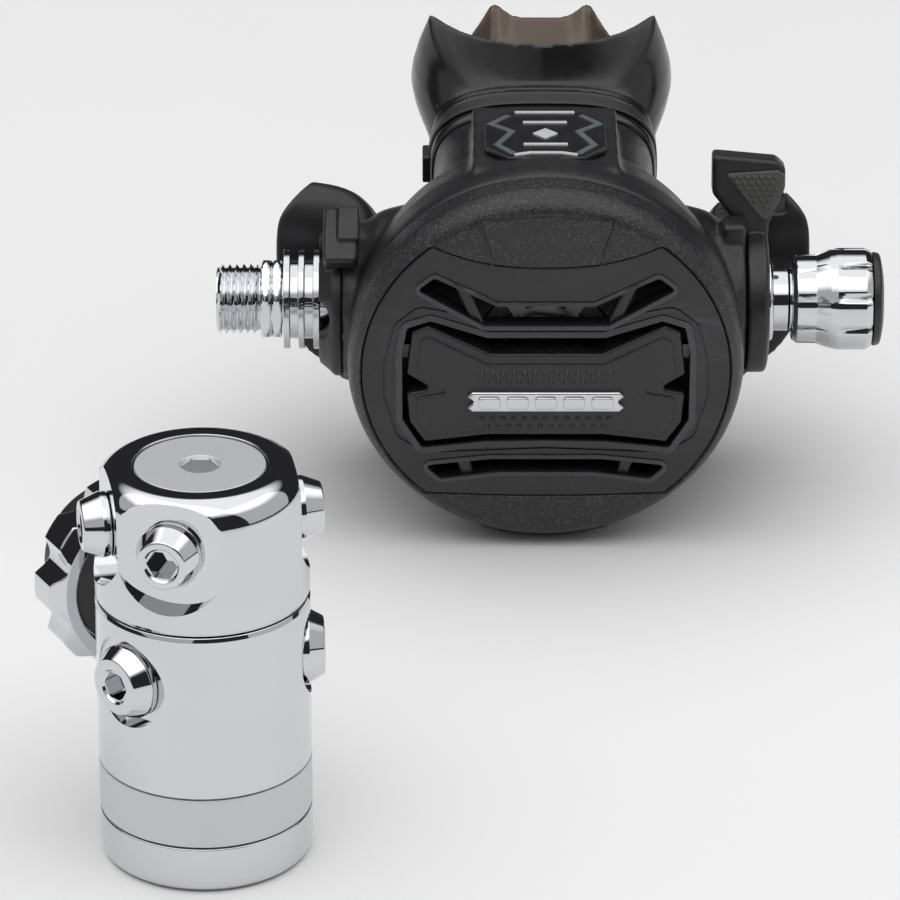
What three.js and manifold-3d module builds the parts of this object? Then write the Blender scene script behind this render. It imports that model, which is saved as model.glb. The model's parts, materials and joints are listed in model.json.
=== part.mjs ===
// A scuba regulator set: a swivel-turret first stage with a threaded cylinder fitting, and a
// demand valve (second stage) with its mouthpiece. Millimetres, +Z up, front towards -Y.
// The first stage stands on its end cap. The second stage lies on its cover's tab and exhaust tee.

import * as THREE from 'three';
import { mergeVertices } from 'three/addons/utils/BufferGeometryUtils.js';
import Module from 'manifold-3d';

const wasm = await Module();
wasm.setup();

const DEG = Math.PI / 180;

// ---------- driving dimensions ----------

const GAP = 0.3;                       // clearance between neighbouring pieces

// where the two units stand
const FIRST_AXIS = { x: -49.39, y: -96.47 };
const SECOND_ORIGIN = { x: 13.67, y: 51.46, z: 43.66 };
const SECOND_PITCH = 6.5 * DEG;        // nose-down lean of the second stage as it rests

// first stage
const BODY_R = 19.24;
const END_CAP_TOP = 9.0;
const BAND_TOP = 18.8;
const BODY_TOP = 51.0;
const TURRET_TOP = 76.2;
const TURRET_DISC_R = 11.7;
const POST_R = 7.0;
const LOW_HEIGHT = 66.0;                // low-pressure ports
const LOW_AZIMUTHS = [-16.5, -78, 100, 163];
const LOW_SEAT = 16.6;                  // distance of the spot face from the axis
const LOW_SEAT_R = 10.8;
const HIGH_HEIGHT = 39.6;               // high-pressure ports
const HIGH_AZIMUTHS = [-45, 94];
const HIGH_SEAT = 17.2;
const HIGH_SEAT_R = 8.5;
const PLUG_FACE = 21.7;                // distance of a plug's outer face from the axis
const DIN_AZIMUTH = -152;
const DIN_HEIGHT = 43.1;
const WHEEL_NEAR = 22.8;
const WHEEL_FAR = 32.4;
const WHEEL_R = 19.0;
const WHEEL_LOBES = 10;
const DIN_THREAD_R = 11.45;
const DUST_CAP_R = 13.4;
const DUST_CAP_END = 40.0;

// second stage, measured from its valve axis: x to the right, y to the rear, z up
const COVER_R = 39.3;
const COVER_BACK = 20.3;               // distances in front of the valve axis
const COVER_PLATE = 26.0;
const COVER_FRONT = 30.0;
const INSERT_R = 36.4;
const TAB_R = 41.0;
const TAB_FRONT = 25.8;
const TAB_HALF = 12.8;
const CASE_RIM = 20.0;
const BOSS_R = 15.8;
const LEFT_BOSS_END = -40.5;
const RIGHT_BOSS_END = 40.2;
const VALVE_TUBE_R = 7.0;
const NECK_Z = 14.8;
const NECK_END = 24.0;
const STUB_END = 36.0;
const TEE_HALF = 54.5;
const PURGE_FLANGE_BACK = 24.2;
const LEVER_PIVOT = { x: 10, front: 8.7 };

// ---------- finishes ----------

function finish(color, roughness, metalness) {
  return () => new THREE.MeshStandardMaterial({ color, roughness, metalness });
}

const chrome = finish(0xd8dadc, 0.08, 1.0);
const satin = finish(0xb9bcbe, 0.38, 1.0);
const brass = finish(0xb08d4a, 0.35, 1.0);
const steel = finish(0x9a9c9e, 0.3, 1.0);
const blackPlastic = finish(0x1b1b1d, 0.55, 0.0);
const smoothPlastic = finish(0x202022, 0.4, 0.0);
const greyPlastic = finish(0x4a4a4c, 0.6, 0.0);
const darkRubber = finish(0x141414, 0.8, 0.0);
const smokySilicone = finish(0x3b332f, 0.35, 0.0);

// ---------- solids ----------

function signedVolume(position, index) {
  const a = new THREE.Vector3();
  const b = new THREE.Vector3();
  const c = new THREE.Vector3();
  let total = 0;
  for (let i = 0; i < index.length; i += 3) {
    a.fromBufferAttribute(position, index[i]);
    b.fromBufferAttribute(position, index[i + 1]);
    c.fromBufferAttribute(position, index[i + 2]);
    total += a.dot(b.cross(c)) / 6;
  }
  return total;
}

// The closed solid of a geometry, with shared corners and faces pointing out.
function solidOf(geometry) {
  const bare = geometry.clone();
  for (const name of ['normal', 'uv']) bare.deleteAttribute(name);
  const merged = mergeVertices(bare, 1e-4);
  const position = merged.getAttribute('position');
  const source = merged.getIndex().array;
  const triangles = [];
  for (let i = 0; i < source.length; i += 3) {
    const [p, q, r] = [source[i], source[i + 1], source[i + 2]];
    if (p !== q && q !== r && r !== p) triangles.push(p, q, r);
  }
  if (signedVolume(position, triangles) < 0) triangles.reverse();
  return new wasm.Manifold(new wasm.Mesh({
    numProp: 3,
    vertProperties: new Float32Array(position.array),
    triVerts: new Uint32Array(triangles),
  }));
}

function geometryOf(solid) {
  const mesh = solid.getMesh();
  const geometry = new THREE.BufferGeometry();
  geometry.setAttribute('position', new THREE.BufferAttribute(new Float32Array(mesh.vertProperties), 3));
  geometry.setIndex(new THREE.BufferAttribute(new Uint32Array(mesh.triVerts), 1));
  geometry.computeVertexNormals();
  return geometry;
}

function join(first, ...others) {
  return geometryOf(others.reduce((solid, other) => solid.add(solidOf(other)), solidOf(first)));
}

function cut(first, ...tools) {
  return geometryOf(tools.reduce((solid, tool) => solid.subtract(solidOf(tool)), solidOf(first)));
}

function overlap(first, second) {
  return geometryOf(solidOf(first).intersect(solidOf(second)));
}

// ---------- basic forms, along +Z ----------

function turned(profile, segments = 20) {
  const points = profile.map(([radius, height]) => new THREE.Vector2(radius, height));
  return new THREE.LatheGeometry(points, segments).rotateX(Math.PI / 2);
}

function rod(radius, from, to, segments = 16) {
  return turned([[0, from], [radius, from], [radius, to], [0, to]], segments);
}

function sleeve(inner, outer, from, to, segments = 20) {
  return turned([[inner, from], [outer, from], [outer, to], [inner, to], [inner, from]], segments);
}

function hexagon(acrossFlats, from, to) {
  return rod(acrossFlats / Math.sqrt(3), from, to, 6);
}

function prism(shape, from, to, curveSegments = 8) {
  const options = { depth: to - from, bevelEnabled: false, curveSegments };
  return new THREE.ExtrudeGeometry(shape, options).translate(0, 0, from);
}

function block(x0, x1, y0, y1, z0, z1) {
  const box = new THREE.BoxGeometry(x1 - x0, y1 - y0, z1 - z0);
  return box.translate((x0 + x1) / 2, (y0 + y1) / 2, (z0 + z1) / 2);
}

function ringSeal(radius, thickness) {
  return new THREE.TorusGeometry(radius, thickness / 2, 5, 14);
}

class Helix extends THREE.Curve {
  constructor(radius, from, to, turns, endRadius = radius) {
    super();
    Object.assign(this, { radius, from, to, turns, endRadius });
  }

  getPoint(t, target = new THREE.Vector3()) {
    const angle = 2 * Math.PI * this.turns * t;
    const radius = this.radius + (this.endRadius - this.radius) * t;
    const height = this.from + (this.to - this.from) * t;
    return target.set(radius * Math.cos(angle), radius * Math.sin(angle), height);
  }
}

// A coil spring between two heights; the wire's own thickness is inside them.
function spring(radius, wire, from, to, turns, endRadius = radius) {
  const section = new THREE.Shape();
  section.absarc(0, 0, wire / 2, 0, 2 * Math.PI);
  const path = new Helix(radius, from + wire / 2, to - wire / 2, turns, endRadius);
  const options = { steps: Math.ceil(turns * 7), extrudePath: path, curveSegments: 3, bevelEnabled: false };
  return new THREE.ExtrudeGeometry(section, options);
}

// A shape from the points of its right half, listed from top centre to bottom centre.
function mirrored(half) {
  const left = half.filter(([x]) => x > 0).map(([x, y]) => [-x, y]).reverse();
  return new THREE.Shape([...half, ...left].map(([x, y]) => new THREE.Vector2(x, y)));
}

// ---------- turning a form from +Z to where it faces ----------

const toFront = (geometry) => geometry.rotateX(Math.PI / 2);      // +Z becomes -Y, +Y becomes +Z
const toRight = (geometry) => geometry.rotateY(Math.PI / 2);      // +Z becomes +X
const toAzimuth = (geometry, degrees, height) => (
  toFront(geometry).rotateZ(degrees * DEG).translate(0, 0, height)
);

// A tube through stations along x or y; each station has a centre (u, v), half sizes (a, b)
// and the power of its rounded outline (2 is an ellipse).
function loft(along, stations, segments = 18) {
  const last = stations.length - 1;
  const geometry = new THREE.CylinderGeometry(1, 1, 1, segments, last);
  const position = geometry.getAttribute('position');
  const rounded = (value, power) => Math.sign(value) * Math.abs(value) ** (2 / power);
  for (let i = 0; i < position.count; i += 1) {
    const station = stations[Math.round((position.getY(i) + 0.5) * last)];
    const power = station.power ?? 2;
    const u = station.u + station.a * rounded(position.getX(i), power);
    const v = station.v + station.b * rounded(position.getZ(i), power);
    if (along === 'x') position.setXYZ(i, station.at, u, v);
    else position.setXYZ(i, u, station.at, v);
  }
  return geometry;
}

// ---------- the assembly ----------

const regulator = new THREE.Group();
const firstStage = new THREE.Group();
const secondStage = new THREE.Group();
firstStage.position.set(FIRST_AXIS.x, FIRST_AXIS.y, 0);
secondStage.position.set(SECOND_ORIGIN.x, SECOND_ORIGIN.y, SECOND_ORIGIN.z);
secondStage.rotation.x = SECOND_PITCH;
regulator.add(firstStage, secondStage);

function addPiece(group, name, geometry, material) {
  const mesh = new THREE.Mesh(geometryOf(solidOf(geometry)), material());
  mesh.name = name;
  group.add(mesh);
}

// ---------- first stage: end cap, diaphragm parts and springs ----------

function addDiaphragmEnd() {
  addPiece(firstStage, 'end_cap', turned([
    [12.8, 0], [18.0, 0], [18.8, 0.7], [BODY_R, 2.4], [BODY_R, END_CAP_TOP],
    [15.3, END_CAP_TOP], [15.3, 3.1], [12.8, 3.1], [12.8, 0],
  ], 28), chrome);
  addPiece(firstStage, 'environmental_diaphragm', rod(14.9, 3.4, 4.4, 18), darkRubber);
  addPiece(firstStage, 'diaphragm_clamp', turned([
    [12.2, 4.8], [15.0, 4.8], [15.0, END_CAP_TOP + GAP], [BODY_R, END_CAP_TOP + GAP],
    [BODY_R, BAND_TOP], [10.5, BAND_TOP], [10.5, 8.8], [12.2, 7.4], [12.2, 4.8],
  ], 28), satin);
  addPiece(firstStage, 'spring_adjuster', sleeve(4.0, 10.1, 7.6, 9.6, 16), brass);
  addPiece(firstStage, 'main_spring', spring(8, 1.8, 9.9, 17.0, 3.2), steel);
  addPiece(firstStage, 'hydrostatic_transmitter', turned([
    [0, 5.6], [11.5, 5.6], [11.5, 6.5], [2.4, 6.5], [2.4, 17.3], [9.6, 17.3], [9.6, 18.3], [0, 18.3],
  ], 16), blackPlastic);
  addPiece(firstStage, 'main_diaphragm', rod(15.9, BAND_TOP + GAP, 20.1, 18), darkRubber);
  addPiece(firstStage, 'valve_lifter', turned([
    [0, 20.5], [5.5, 20.5], [5.5, 21.3], [1.2, 21.3], [1.2, 29.6], [0, 29.6],
  ], 10), brass);
}

// ---------- first stage: body, high-pressure valve and plugs ----------

function addFirstStageBody() {
  const outline = turned([
    [0, 24.5], [9.5, 24.5], [9.5, 20.4], [16.2, 20.4], [16.2, BAND_TOP + GAP],
    [BODY_R, BAND_TOP + GAP], [BODY_R, BODY_TOP], [POST_R, BODY_TOP], [POST_R, 70], [5.9, 70],
    [5.9, 56], [0, 56],
  ], 28);
  const chamber = rod(6.5, 29, 47, 14);
  const valveBore = rod(2.2, 24, 30, 8);
  const ports = HIGH_AZIMUTHS.flatMap((azimuth) => [
    toAzimuth(rod(5.4, 3, BODY_R + 2, 10), azimuth, HIGH_HEIGHT),
    toAzimuth(rod(HIGH_SEAT_R, HIGH_SEAT, BODY_R + 2, 20), azimuth, HIGH_HEIGHT),
  ]);
  const inlet = toAzimuth(rod(6.7, 3, BODY_R + 2, 14), DIN_AZIMUTH, DIN_HEIGHT);
  const inletSeat = toAzimuth(rod(7.8, 18.5, BODY_R + 2, 16), DIN_AZIMUTH, DIN_HEIGHT);
  const body = cut(outline, chamber, valveBore, ...ports, inlet, inletSeat);
  addPiece(firstStage, 'first_stage_body', body, chrome);
  addPiece(firstStage, 'high_pressure_poppet', rod(3.4, 29.9, 34, 10), brass);
  addPiece(firstStage, 'high_pressure_spring', spring(2.6, 0.8, 34.3, 46.7, 4.5), steel);
}

function plug(headR, shankR, seat, shankEnd) {
  const form = turned([
    [0, shankEnd], [shankR, shankEnd], [shankR, seat - GAP], [shankR, seat + GAP], [headR, seat + GAP],
    [headR, seat + 1.6], [headR * 0.74, PLUG_FACE], [0, PLUG_FACE],
  ], 16);
  return cut(form, hexagon(5, PLUG_FACE - 4, PLUG_FACE + 1));
}

function addPlugs() {
  HIGH_AZIMUTHS.forEach((azimuth, i) => {
    const form = toAzimuth(plug(6.85, 5.1, HIGH_SEAT, 10), azimuth, HIGH_HEIGHT);
    addPiece(firstStage, `high_port_plug_${i + 1}`, form, chrome);
  });
  LOW_AZIMUTHS.forEach((azimuth, i) => {
    const form = toAzimuth(plug(5.9, 4.3, LOW_SEAT, 10.6), azimuth, LOW_HEIGHT);
    addPiece(firstStage, `low_port_plug_${i + 1}`, form, chrome);
  });
}

// ---------- first stage: swivel turret ----------

function addTurret() {
  const shoulder = [[BODY_R, 71.3], [18.6, 73.6], [17.2, 75.2], [14.6, TURRET_TOP]];
  const outline = turned([
    [7.3, BODY_TOP + GAP], [BODY_R, BODY_TOP + GAP], ...shoulder, [12.0, TURRET_TOP], [12.0, 73.8],
    [7.3, 73.8], [7.3, 55.1], [9.0, 55.1], [9.0, 53.3], [7.3, 53.3], [7.3, BODY_TOP + GAP],
  ], 28);
  const ports = LOW_AZIMUTHS.flatMap((azimuth) => [
    toAzimuth(rod(4.6, 5, BODY_R + 2, 10), azimuth, LOW_HEIGHT),
    toAzimuth(rod(LOW_SEAT_R, LOW_SEAT, BODY_R + 2, 24), azimuth, LOW_HEIGHT),
  ]);
  addPiece(firstStage, 'turret', cut(outline, ...ports), chrome);
  addPiece(firstStage, 'turret_oring', ringSeal(8.05, 1.4).translate(0, 0, 54.2), darkRubber);
  const bolt = turned([
    [0, 58], [5.5, 58], [5.5, 74.1], [TURRET_DISC_R, 74.1], [TURRET_DISC_R, 76], [0, 76],
  ], 24);
  addPiece(firstStage, 'turret_bolt', cut(bolt, hexagon(6, 71, 77)), satin);
}

// ---------- first stage: threaded cylinder fitting ----------

function lobedOutline(radius, depth, lobes) {
  const steps = lobes * 6;
  const points = Array.from({ length: steps }, (_, i) => {
    const angle = (2 * Math.PI * i) / steps;
    const scallop = Math.max(0, -Math.cos(lobes * angle)) * depth;
    return new THREE.Vector2((radius - scallop) * Math.cos(angle), (radius - scallop) * Math.sin(angle));
  });
  return new THREE.Shape(points);
}

function addCylinderFitting() {
  const onAxis = (geometry) => toAzimuth(geometry, DIN_AZIMUTH, DIN_HEIGHT);
  const stem = turned([
    [3.2, 8.5], [6.4, 8.5], [6.4, 18.8], [7.5, 18.8], [7.5, 38.2], [3.2, 38.2], [3.2, 36.5], [4.4, 36.5],
    [4.4, 34.5], [3.2, 34.5], [3.2, 8.5],
  ], 16);
  addPiece(firstStage, 'din_stem', onAxis(cut(stem, sleeve(5.0, 6.6, 37.2, 39, 16))), chrome);
  addPiece(firstStage, 'din_oring', onAxis(ringSeal(5.8, 1.0).translate(0, 0, 38.1)), darkRubber);
  addPiece(firstStage, 'din_filter', onAxis(rod(4.1, 34.8, 36.2, 10)), brass);
  const rim = prism(lobedOutline(WHEEL_R, 1.9, WHEEL_LOBES), WHEEL_NEAR, WHEEL_FAR);
  const thread = rod(DIN_THREAD_R, WHEEL_FAR - 1, 38, 18);
  const wheel = cut(join(rim, thread), rod(14.2, WHEEL_NEAR - 1, 25.2, 18), rod(7.9, 20, 39, 16));
  addPiece(firstStage, 'handwheel', onAxis(wheel), chrome);
  addPiece(firstStage, 'handwheel_disc', onAxis(sleeve(8.0, 13.9, 23.6, 24.9, 18)), greyPlastic);
  addPiece(firstStage, 'dust_cap', onAxis(turned([
    [DIN_THREAD_R + GAP, WHEEL_FAR + GAP], [DUST_CAP_R, WHEEL_FAR + GAP], [DUST_CAP_R, DUST_CAP_END - 1],
    [DUST_CAP_R - 1, DUST_CAP_END], [0, DUST_CAP_END], [0, 38.7], [DIN_THREAD_R + GAP, 38.7],
    [DIN_THREAD_R + GAP, WHEEL_FAR + GAP],
  ], 18)), blackPlastic);
}

// ---------- second stage: case ----------

const PLINTH_TOP = [[-12, 38.6], [20, 32.6]];     // the raised flat that carries the neck badge (y, z)

// The outside of the case, swollen by grow so that its neighbours can be cut clear of it.
function caseForm(grow = 0) {
  const bowl = toFront(turned([
    [0, -20 - grow], [14, -19.4 - grow], [24 + grow, -16 - grow], [31 + grow, -9 - grow], [35.5 + grow, 0],
    [38 + grow, 10], [38.9 + grow, 17], [38.9 + grow, CASE_RIM], [0, CASE_RIM],
  ], 30));
  const barrel = loft('x', [
    { at: LEFT_BOSS_END, u: 0, v: 0, a: BOSS_R + grow, b: BOSS_R + grow },
    { at: -30, u: 1, v: 0, a: BOSS_R + 1 + grow, b: BOSS_R + 3 + grow },
    { at: 0, u: 0, v: 0, a: 18 + grow, b: 24 + grow },
    { at: 30, u: 1, v: 0, a: BOSS_R + 1 + grow, b: BOSS_R + 3 + grow },
    { at: RIGHT_BOSS_END, u: 0, v: 0, a: BOSS_R + grow, b: BOSS_R + grow },
  ], 20);
  const neck = loft('y', [
    { at: -6, u: 0, v: 13, a: 22.6 + grow, b: 21 + grow, power: 3 },
    { at: 6, u: 0, v: 13.5, a: 22.4 + grow, b: 19.5 + grow, power: 3 },
    { at: 16, u: 0, v: 14.5, a: 22.3 + grow, b: 16.5 + grow, power: 3 },
    { at: NECK_END + grow, u: 0, v: NECK_Z, a: 22.6 + grow, b: 14.6 + grow, power: 3 },
  ], 20);
  const plinth = sideways([...PLINTH_TOP, [20, 24], [-12, 24]], 14.5 + grow, grow);
  return join(bowl, barrel, neck, plinth);
}

// A block across the middle of the unit, from its outline seen from the side (y, z).
function sideways(outline, half, lift = 0) {
  const shape = new THREE.Shape(outline.map(([y, z]) => new THREE.Vector2(y, z + lift)));
  return prism(shape, -half, half).applyMatrix4(new THREE.Matrix4().set(
    0, 0, 1, 0,
    1, 0, 0, 0,
    0, 1, 0, 0,
    0, 0, 0, 1,
  ));
}

const EXHAUST = { y: 12.5, z: -27.5 };

// A form built along +Z, moved so that it points out of the exhaust port.
function toExhaust(geometry) {
  return geometry.rotateX(-135 * DEG).translate(0, EXHAUST.y, EXHAUST.z);
}

function addCase() {
  const stub = loft('y', [
    { at: NECK_END - 2, u: 0, v: NECK_Z, a: 19.5, b: 11.4, power: 3 },
    { at: STUB_END, u: 0, v: NECK_Z, a: 19.5, b: 11.4, power: 3 },
  ], 18);
  const passage = loft('y', [
    { at: -4, u: 0, v: 12, a: 17, b: 9.6, power: 3 },
    { at: STUB_END + 1, u: 0, v: NECK_Z, a: 17.4, b: 9.3, power: 3 },
  ], 18);
  const hollow = toFront(turned([
    [0, -17.6], [13, -17], [22.3, -14], [28.8, -7.5], [33.2, 0.8], [33.8, 8], [33.8, 18.2], [36.3, 18.2],
    [36.3, CASE_RIM + 1], [0, CASE_RIM + 1],
  ], 28));
  const bores = [
    toRight(rod(8.9, 20, 42, 16)),
    toRight(rod(7.3, -42, -20, 16)),
  ];
  const seat = toExhaust(rod(11, -3.4, 2.4, 16));
  const port = toExhaust(rod(8.4, -8, 4, 14));
  const form = join(cut(caseForm(), hollow), cut(seat, caseForm(-2.2)), stub);
  addPiece(secondStage, 'case_body', cut(form, passage, ...bores, port), blackPlastic);
}

// ---------- second stage: cover ----------

function insertShape(grow = 0) {
  const radius = INSERT_R + grow;
  const corner = Math.atan2(28.9, 22.6);
  const foot = Math.atan2(-27.5, 23.8);
  const shape = new THREE.Shape();
  shape.moveTo(-22.6, 28.9 + grow);
  shape.quadraticCurveTo(-16, 24.2 + grow, 0, 23.9 + grow);
  shape.quadraticCurveTo(16, 24.2 + grow, 22.6, 28.9 + grow);
  shape.absarc(0, 0, radius, corner, foot, true);
  shape.quadraticCurveTo(0, -29 - grow, -23.8, -27.5 - grow);
  shape.absarc(0, 0, radius, Math.PI - foot, Math.PI - corner, true);
  return shape;
}

const UPPER_VENT = [[0, 15.5], [9.6, 15.5], [22, 21.9], [25.4, 19.1], [12.3, 11], [0, 11]];
const LOWER_VENT = [[0, -19.5], [11, -19.5], [24.3, -21], [20.9, -24.2], [9.3, -22.6], [0, -22.6]];
const PURGE_OPENING = [
  [0, 8.2], [12, 8.2], [22.5, 12], [27, 10.5], [28.3, 6], [28.3, -11], [24.5, -16.7], [12, -15.6], [0, -15.2],
];
const PURGE_OUTLINE = [
  [0, 3.4], [11, 3.4], [23.5, 9.8], [25.5, 9], [27, -0.2], [22, -3.7], [27, -4.7], [26, -13], [23.6, -15],
  [11.5, -13.4], [0, -13.4],
];
const PURGE_FLANGE = [[0, 11.4], [24, 14], [30.5, 10], [30.5, -12], [24, -18.4], [0, -18.4]];

function strut(topX, topZ, footX, footZ, width) {
  const shape = new THREE.Shape([
    new THREE.Vector2(topX - width / 2, topZ), new THREE.Vector2(topX + width / 2, topZ),
    new THREE.Vector2(footX + width / 2, footZ), new THREE.Vector2(footX - width / 2, footZ),
  ]);
  return prism(shape, COVER_PLATE - 2, COVER_FRONT + 2);
}

function addCover() {
  const shell = toFront(turned([
    [0, COVER_PLATE], [36.9, COVER_PLATE], [36.9, COVER_BACK], [COVER_R, COVER_BACK], [COVER_R, 24.5],
    [38.7, 27.2], [37.2, 29.1], [35, COVER_FRONT], [0, COVER_FRONT],
  ], 32));
  const tabDisc = toFront(sleeve(38, TAB_R, COVER_BACK, TAB_FRONT, 32));
  const tab = overlap(tabDisc, block(-TAB_HALF, TAB_HALF, -40, 0, -50, -30));
  const pocket = toFront(prism(insertShape(GAP), COVER_PLATE - 1, COVER_FRONT + 2));
  addPiece(secondStage, 'cover_ring', cut(join(shell, tab), pocket), blackPlastic);

  const upperStruts = [-1, 1].map((side) => strut(side * 17.4, 22, side * 12.8, 10, 3));
  const lowerStruts = [-1, 1].map((side) => strut(side * 16.6, -19, side * 15.4, -25, 3));
  const openings = [
    cut(prism(mirrored(UPPER_VENT), COVER_PLATE - 1, COVER_FRONT + 2), ...upperStruts),
    cut(prism(mirrored(LOWER_VENT), COVER_PLATE - 1, COVER_FRONT + 2), ...lowerStruts),
    prism(mirrored(PURGE_OPENING), COVER_PLATE - 1, COVER_FRONT + 2),
  ];
  const plate = prism(insertShape(), COVER_PLATE, COVER_FRONT - 0.4);
  addPiece(secondStage, 'cover_insert', toFront(cut(plate, ...openings)), smoothPlastic);
}

function addPurge() {
  const face = prism(mirrored(PURGE_OUTLINE), PURGE_FLANGE_BACK, 30.6);
  const flange = prism(mirrored(PURGE_FLANGE), PURGE_FLANGE_BACK, COVER_PLATE - GAP);
  const pusher = rod(5, 20, PURGE_FLANGE_BACK + 0.5, 10);
  addPiece(secondStage, 'purge_button', toFront(join(face, flange, pusher)), smoothPlastic);
  const badge = block(-15.5, 15.5, -8.1, -3.1, 30.6 + GAP, 31.8);
  addPiece(secondStage, 'purge_badge', toFront(badge), chrome);
  addPiece(secondStage, 'purge_spring', toFront(spring(7.4, 0.8, 21.1, 23.9, 2.2, 9.4)), steel);
  const spokes = [0, 60, 120].map((turn) => block(-33.5, 33.5, -1.5, 1.5, 20, 20.8).rotateZ(turn * DEG));
  const hub = rod(10.5, 20, 20.8, 16);
  const rim = sleeve(33.2, 36.2, 20, 20.8, 24);
  addPiece(secondStage, 'spring_plate', toFront(cut(join(hub, rim, ...spokes), rod(6.2, 19, 22, 14))), steel);
  addPiece(secondStage, 'demand_diaphragm', toFront(sleeve(14.3, 36, 18.5, 19.7, 24)), smokySilicone);
  addPiece(secondStage, 'diaphragm_plate', toFront(rod(14, 18.9, 19.7, 16)), smoothPlastic);
}

// ---------- second stage: demand valve ----------

function addDemandValve() {
  const slot = block(7, 13, -9, 0.5, -3, 3);
  const outlet = block(-6, 6, 4, 9, -4, 4);
  const tube = cut(
    toRight(sleeve(5.2, VALVE_TUBE_R, -41.5, 38, 18)),
    slot,
    outlet,
  );
  addPiece(secondStage, 'valve_tube', tube, brass);
  addPiece(secondStage, 'poppet', toRight(turned([
    [0, -30.4], [4.3, -30.4], [4.3, -14], [1.6, -14], [1.6, 10.6], [4.4, 10.6], [4.4, 11.4], [0, 11.4],
  ], 10)), blackPlastic);
  addPiece(secondStage, 'valve_spring', toRight(spring(3.2, 0.8, 12, 22.6, 5)), steel);
  const { x, front } = LEVER_PIVOT;
  const pin = rod(1.1, -6, 6, 10).translate(x, -front, 0);
  const foot = block(x - 0.9, x + 0.1, -front, -3, -1.8, 1.8);
  const arm = new THREE.Shape([
    new THREE.Vector2(x + 0.8, front - 0.5), new THREE.Vector2(x + 0.8, front + 0.5),
    new THREE.Vector2(-2, 18.6), new THREE.Vector2(-6, 18.6), new THREE.Vector2(-6, 17.7),
    new THREE.Vector2(-2.4, 17.7),
  ]);
  const strip = toFront(prism(arm, -2.5, 2.5)).applyMatrix4(new THREE.Matrix4().set(
    1, 0, 0, 0,
    0, 0, -1, 0,
    0, 1, 0, 0,
    0, 0, 0, 1,
  ));
  addPiece(secondStage, 'demand_lever', join(pin, foot, strip), steel);
  const balance = turned([[0, 23], [4.6, 23], [4.6, 25], [2.4, 25], [2.4, 33], [0, 33]], 10);
  addPiece(secondStage, 'adjuster_pin', toRight(balance), brass);
}

// ---------- second stage: hose inlet ----------

function addInlet() {
  const fitting = turned([
    [3.2, -65.9], [6.6, -65.9], [7.1, -65.2], [7.1, -57.2], [8.3, -56.9], [9.0, -55.8], [8.2, -54.8],
    [9.0, -53.7], [8.3, -52.7], [4.8, -52.7], [4.8, -38], [3.4, -32], [1.9, -32], [1.9, -52], [3.2, -54],
    [3.2, -65.9],
  ], 18);
  addPiece(secondStage, 'inlet_fitting', toRight(fitting), chrome);
  const finR = 10.1;
  const rootR = 8.0;
  const fins = [[-52.4, -51.1], [-49.4, -48.2], [-46.4, -45.1]].flatMap(([from, to]) => (
    [[rootR, from], [finR, from], [finR, to], [rootR, to]]
  ));
  const exchanger = turned([[5.1, -52.4], ...fins, [rootR, -41.8], [5.1, -41.8], [5.1, -52.4]], 18);
  addPiece(secondStage, 'heat_exchanger', toRight(exchanger), chrome);
  const ring = sleeve(10.6, 15.4, -45, LEFT_BOSS_END - GAP, 20);
  const saddle = block(-25, -11, -14, 1, -46, -30);
  const lug = overlap(sleeve(BOSS_R + 1.4, 21.4, -44, -37.3, 28), saddle);
  const web = overlap(sleeve(12, 20, -44, LEFT_BOSS_END - GAP, 28), saddle);
  addPiece(secondStage, 'inlet_shroud', toRight(join(ring, web, lug)), blackPlastic);
}

// ---------- second stage: venturi lever and breathing adjuster ----------

const LEVER_TILT = -15 * DEG;          // the lever leans to the rear of straight up

function addVenturi() {
  const ring = toRight(sleeve(8.7, 14.8, 40.5, 44.6, 20));
  const stalk = block(36.6, 44.6, -3.5, 3.5, 11, 19);
  const clearance = toRight(rod(BOSS_R + 2, 30, 40.5, 20));
  const headShape = new THREE.Shape([
    new THREE.Vector2(33.6, 30.4), new THREE.Vector2(33.6, 22.5), new THREE.Vector2(37, 17.6),
    new THREE.Vector2(45, 17.6), new THREE.Vector2(48.2, 23.6), new THREE.Vector2(48.2, 27.6),
    new THREE.Vector2(46.6, 29),
  ]);
  const head = toFront(prism(headShape, -3.6, 3.4));
  const lever = join(ring, cut(stalk, clearance), head);
  addPiece(secondStage, 'venturi_lever', lever.rotateX(LEVER_TILT), blackPlastic);
  const padShape = new THREE.Shape([
    new THREE.Vector2(36.4, 26.6), new THREE.Vector2(47, 27.4), new THREE.Vector2(47.4, 23.4),
    new THREE.Vector2(44.2, 19),
  ]);
  addPiece(secondStage, 'venturi_pad', toFront(prism(padShape, 3.7, 4.7)).rotateX(LEVER_TILT), greyPlastic);
  const vaneSleeve = toRight(sleeve(7.3, 8.5, 19.5, 40.2, 18));
  const vane = overlap(toRight(sleeve(7.3, 11.5, 19.5, 23, 18)), block(19, 24, 2, 16, -5, 5));
  addPiece(secondStage, 'venturi_vane', join(vaneSleeve, vane), blackPlastic);
}

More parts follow.
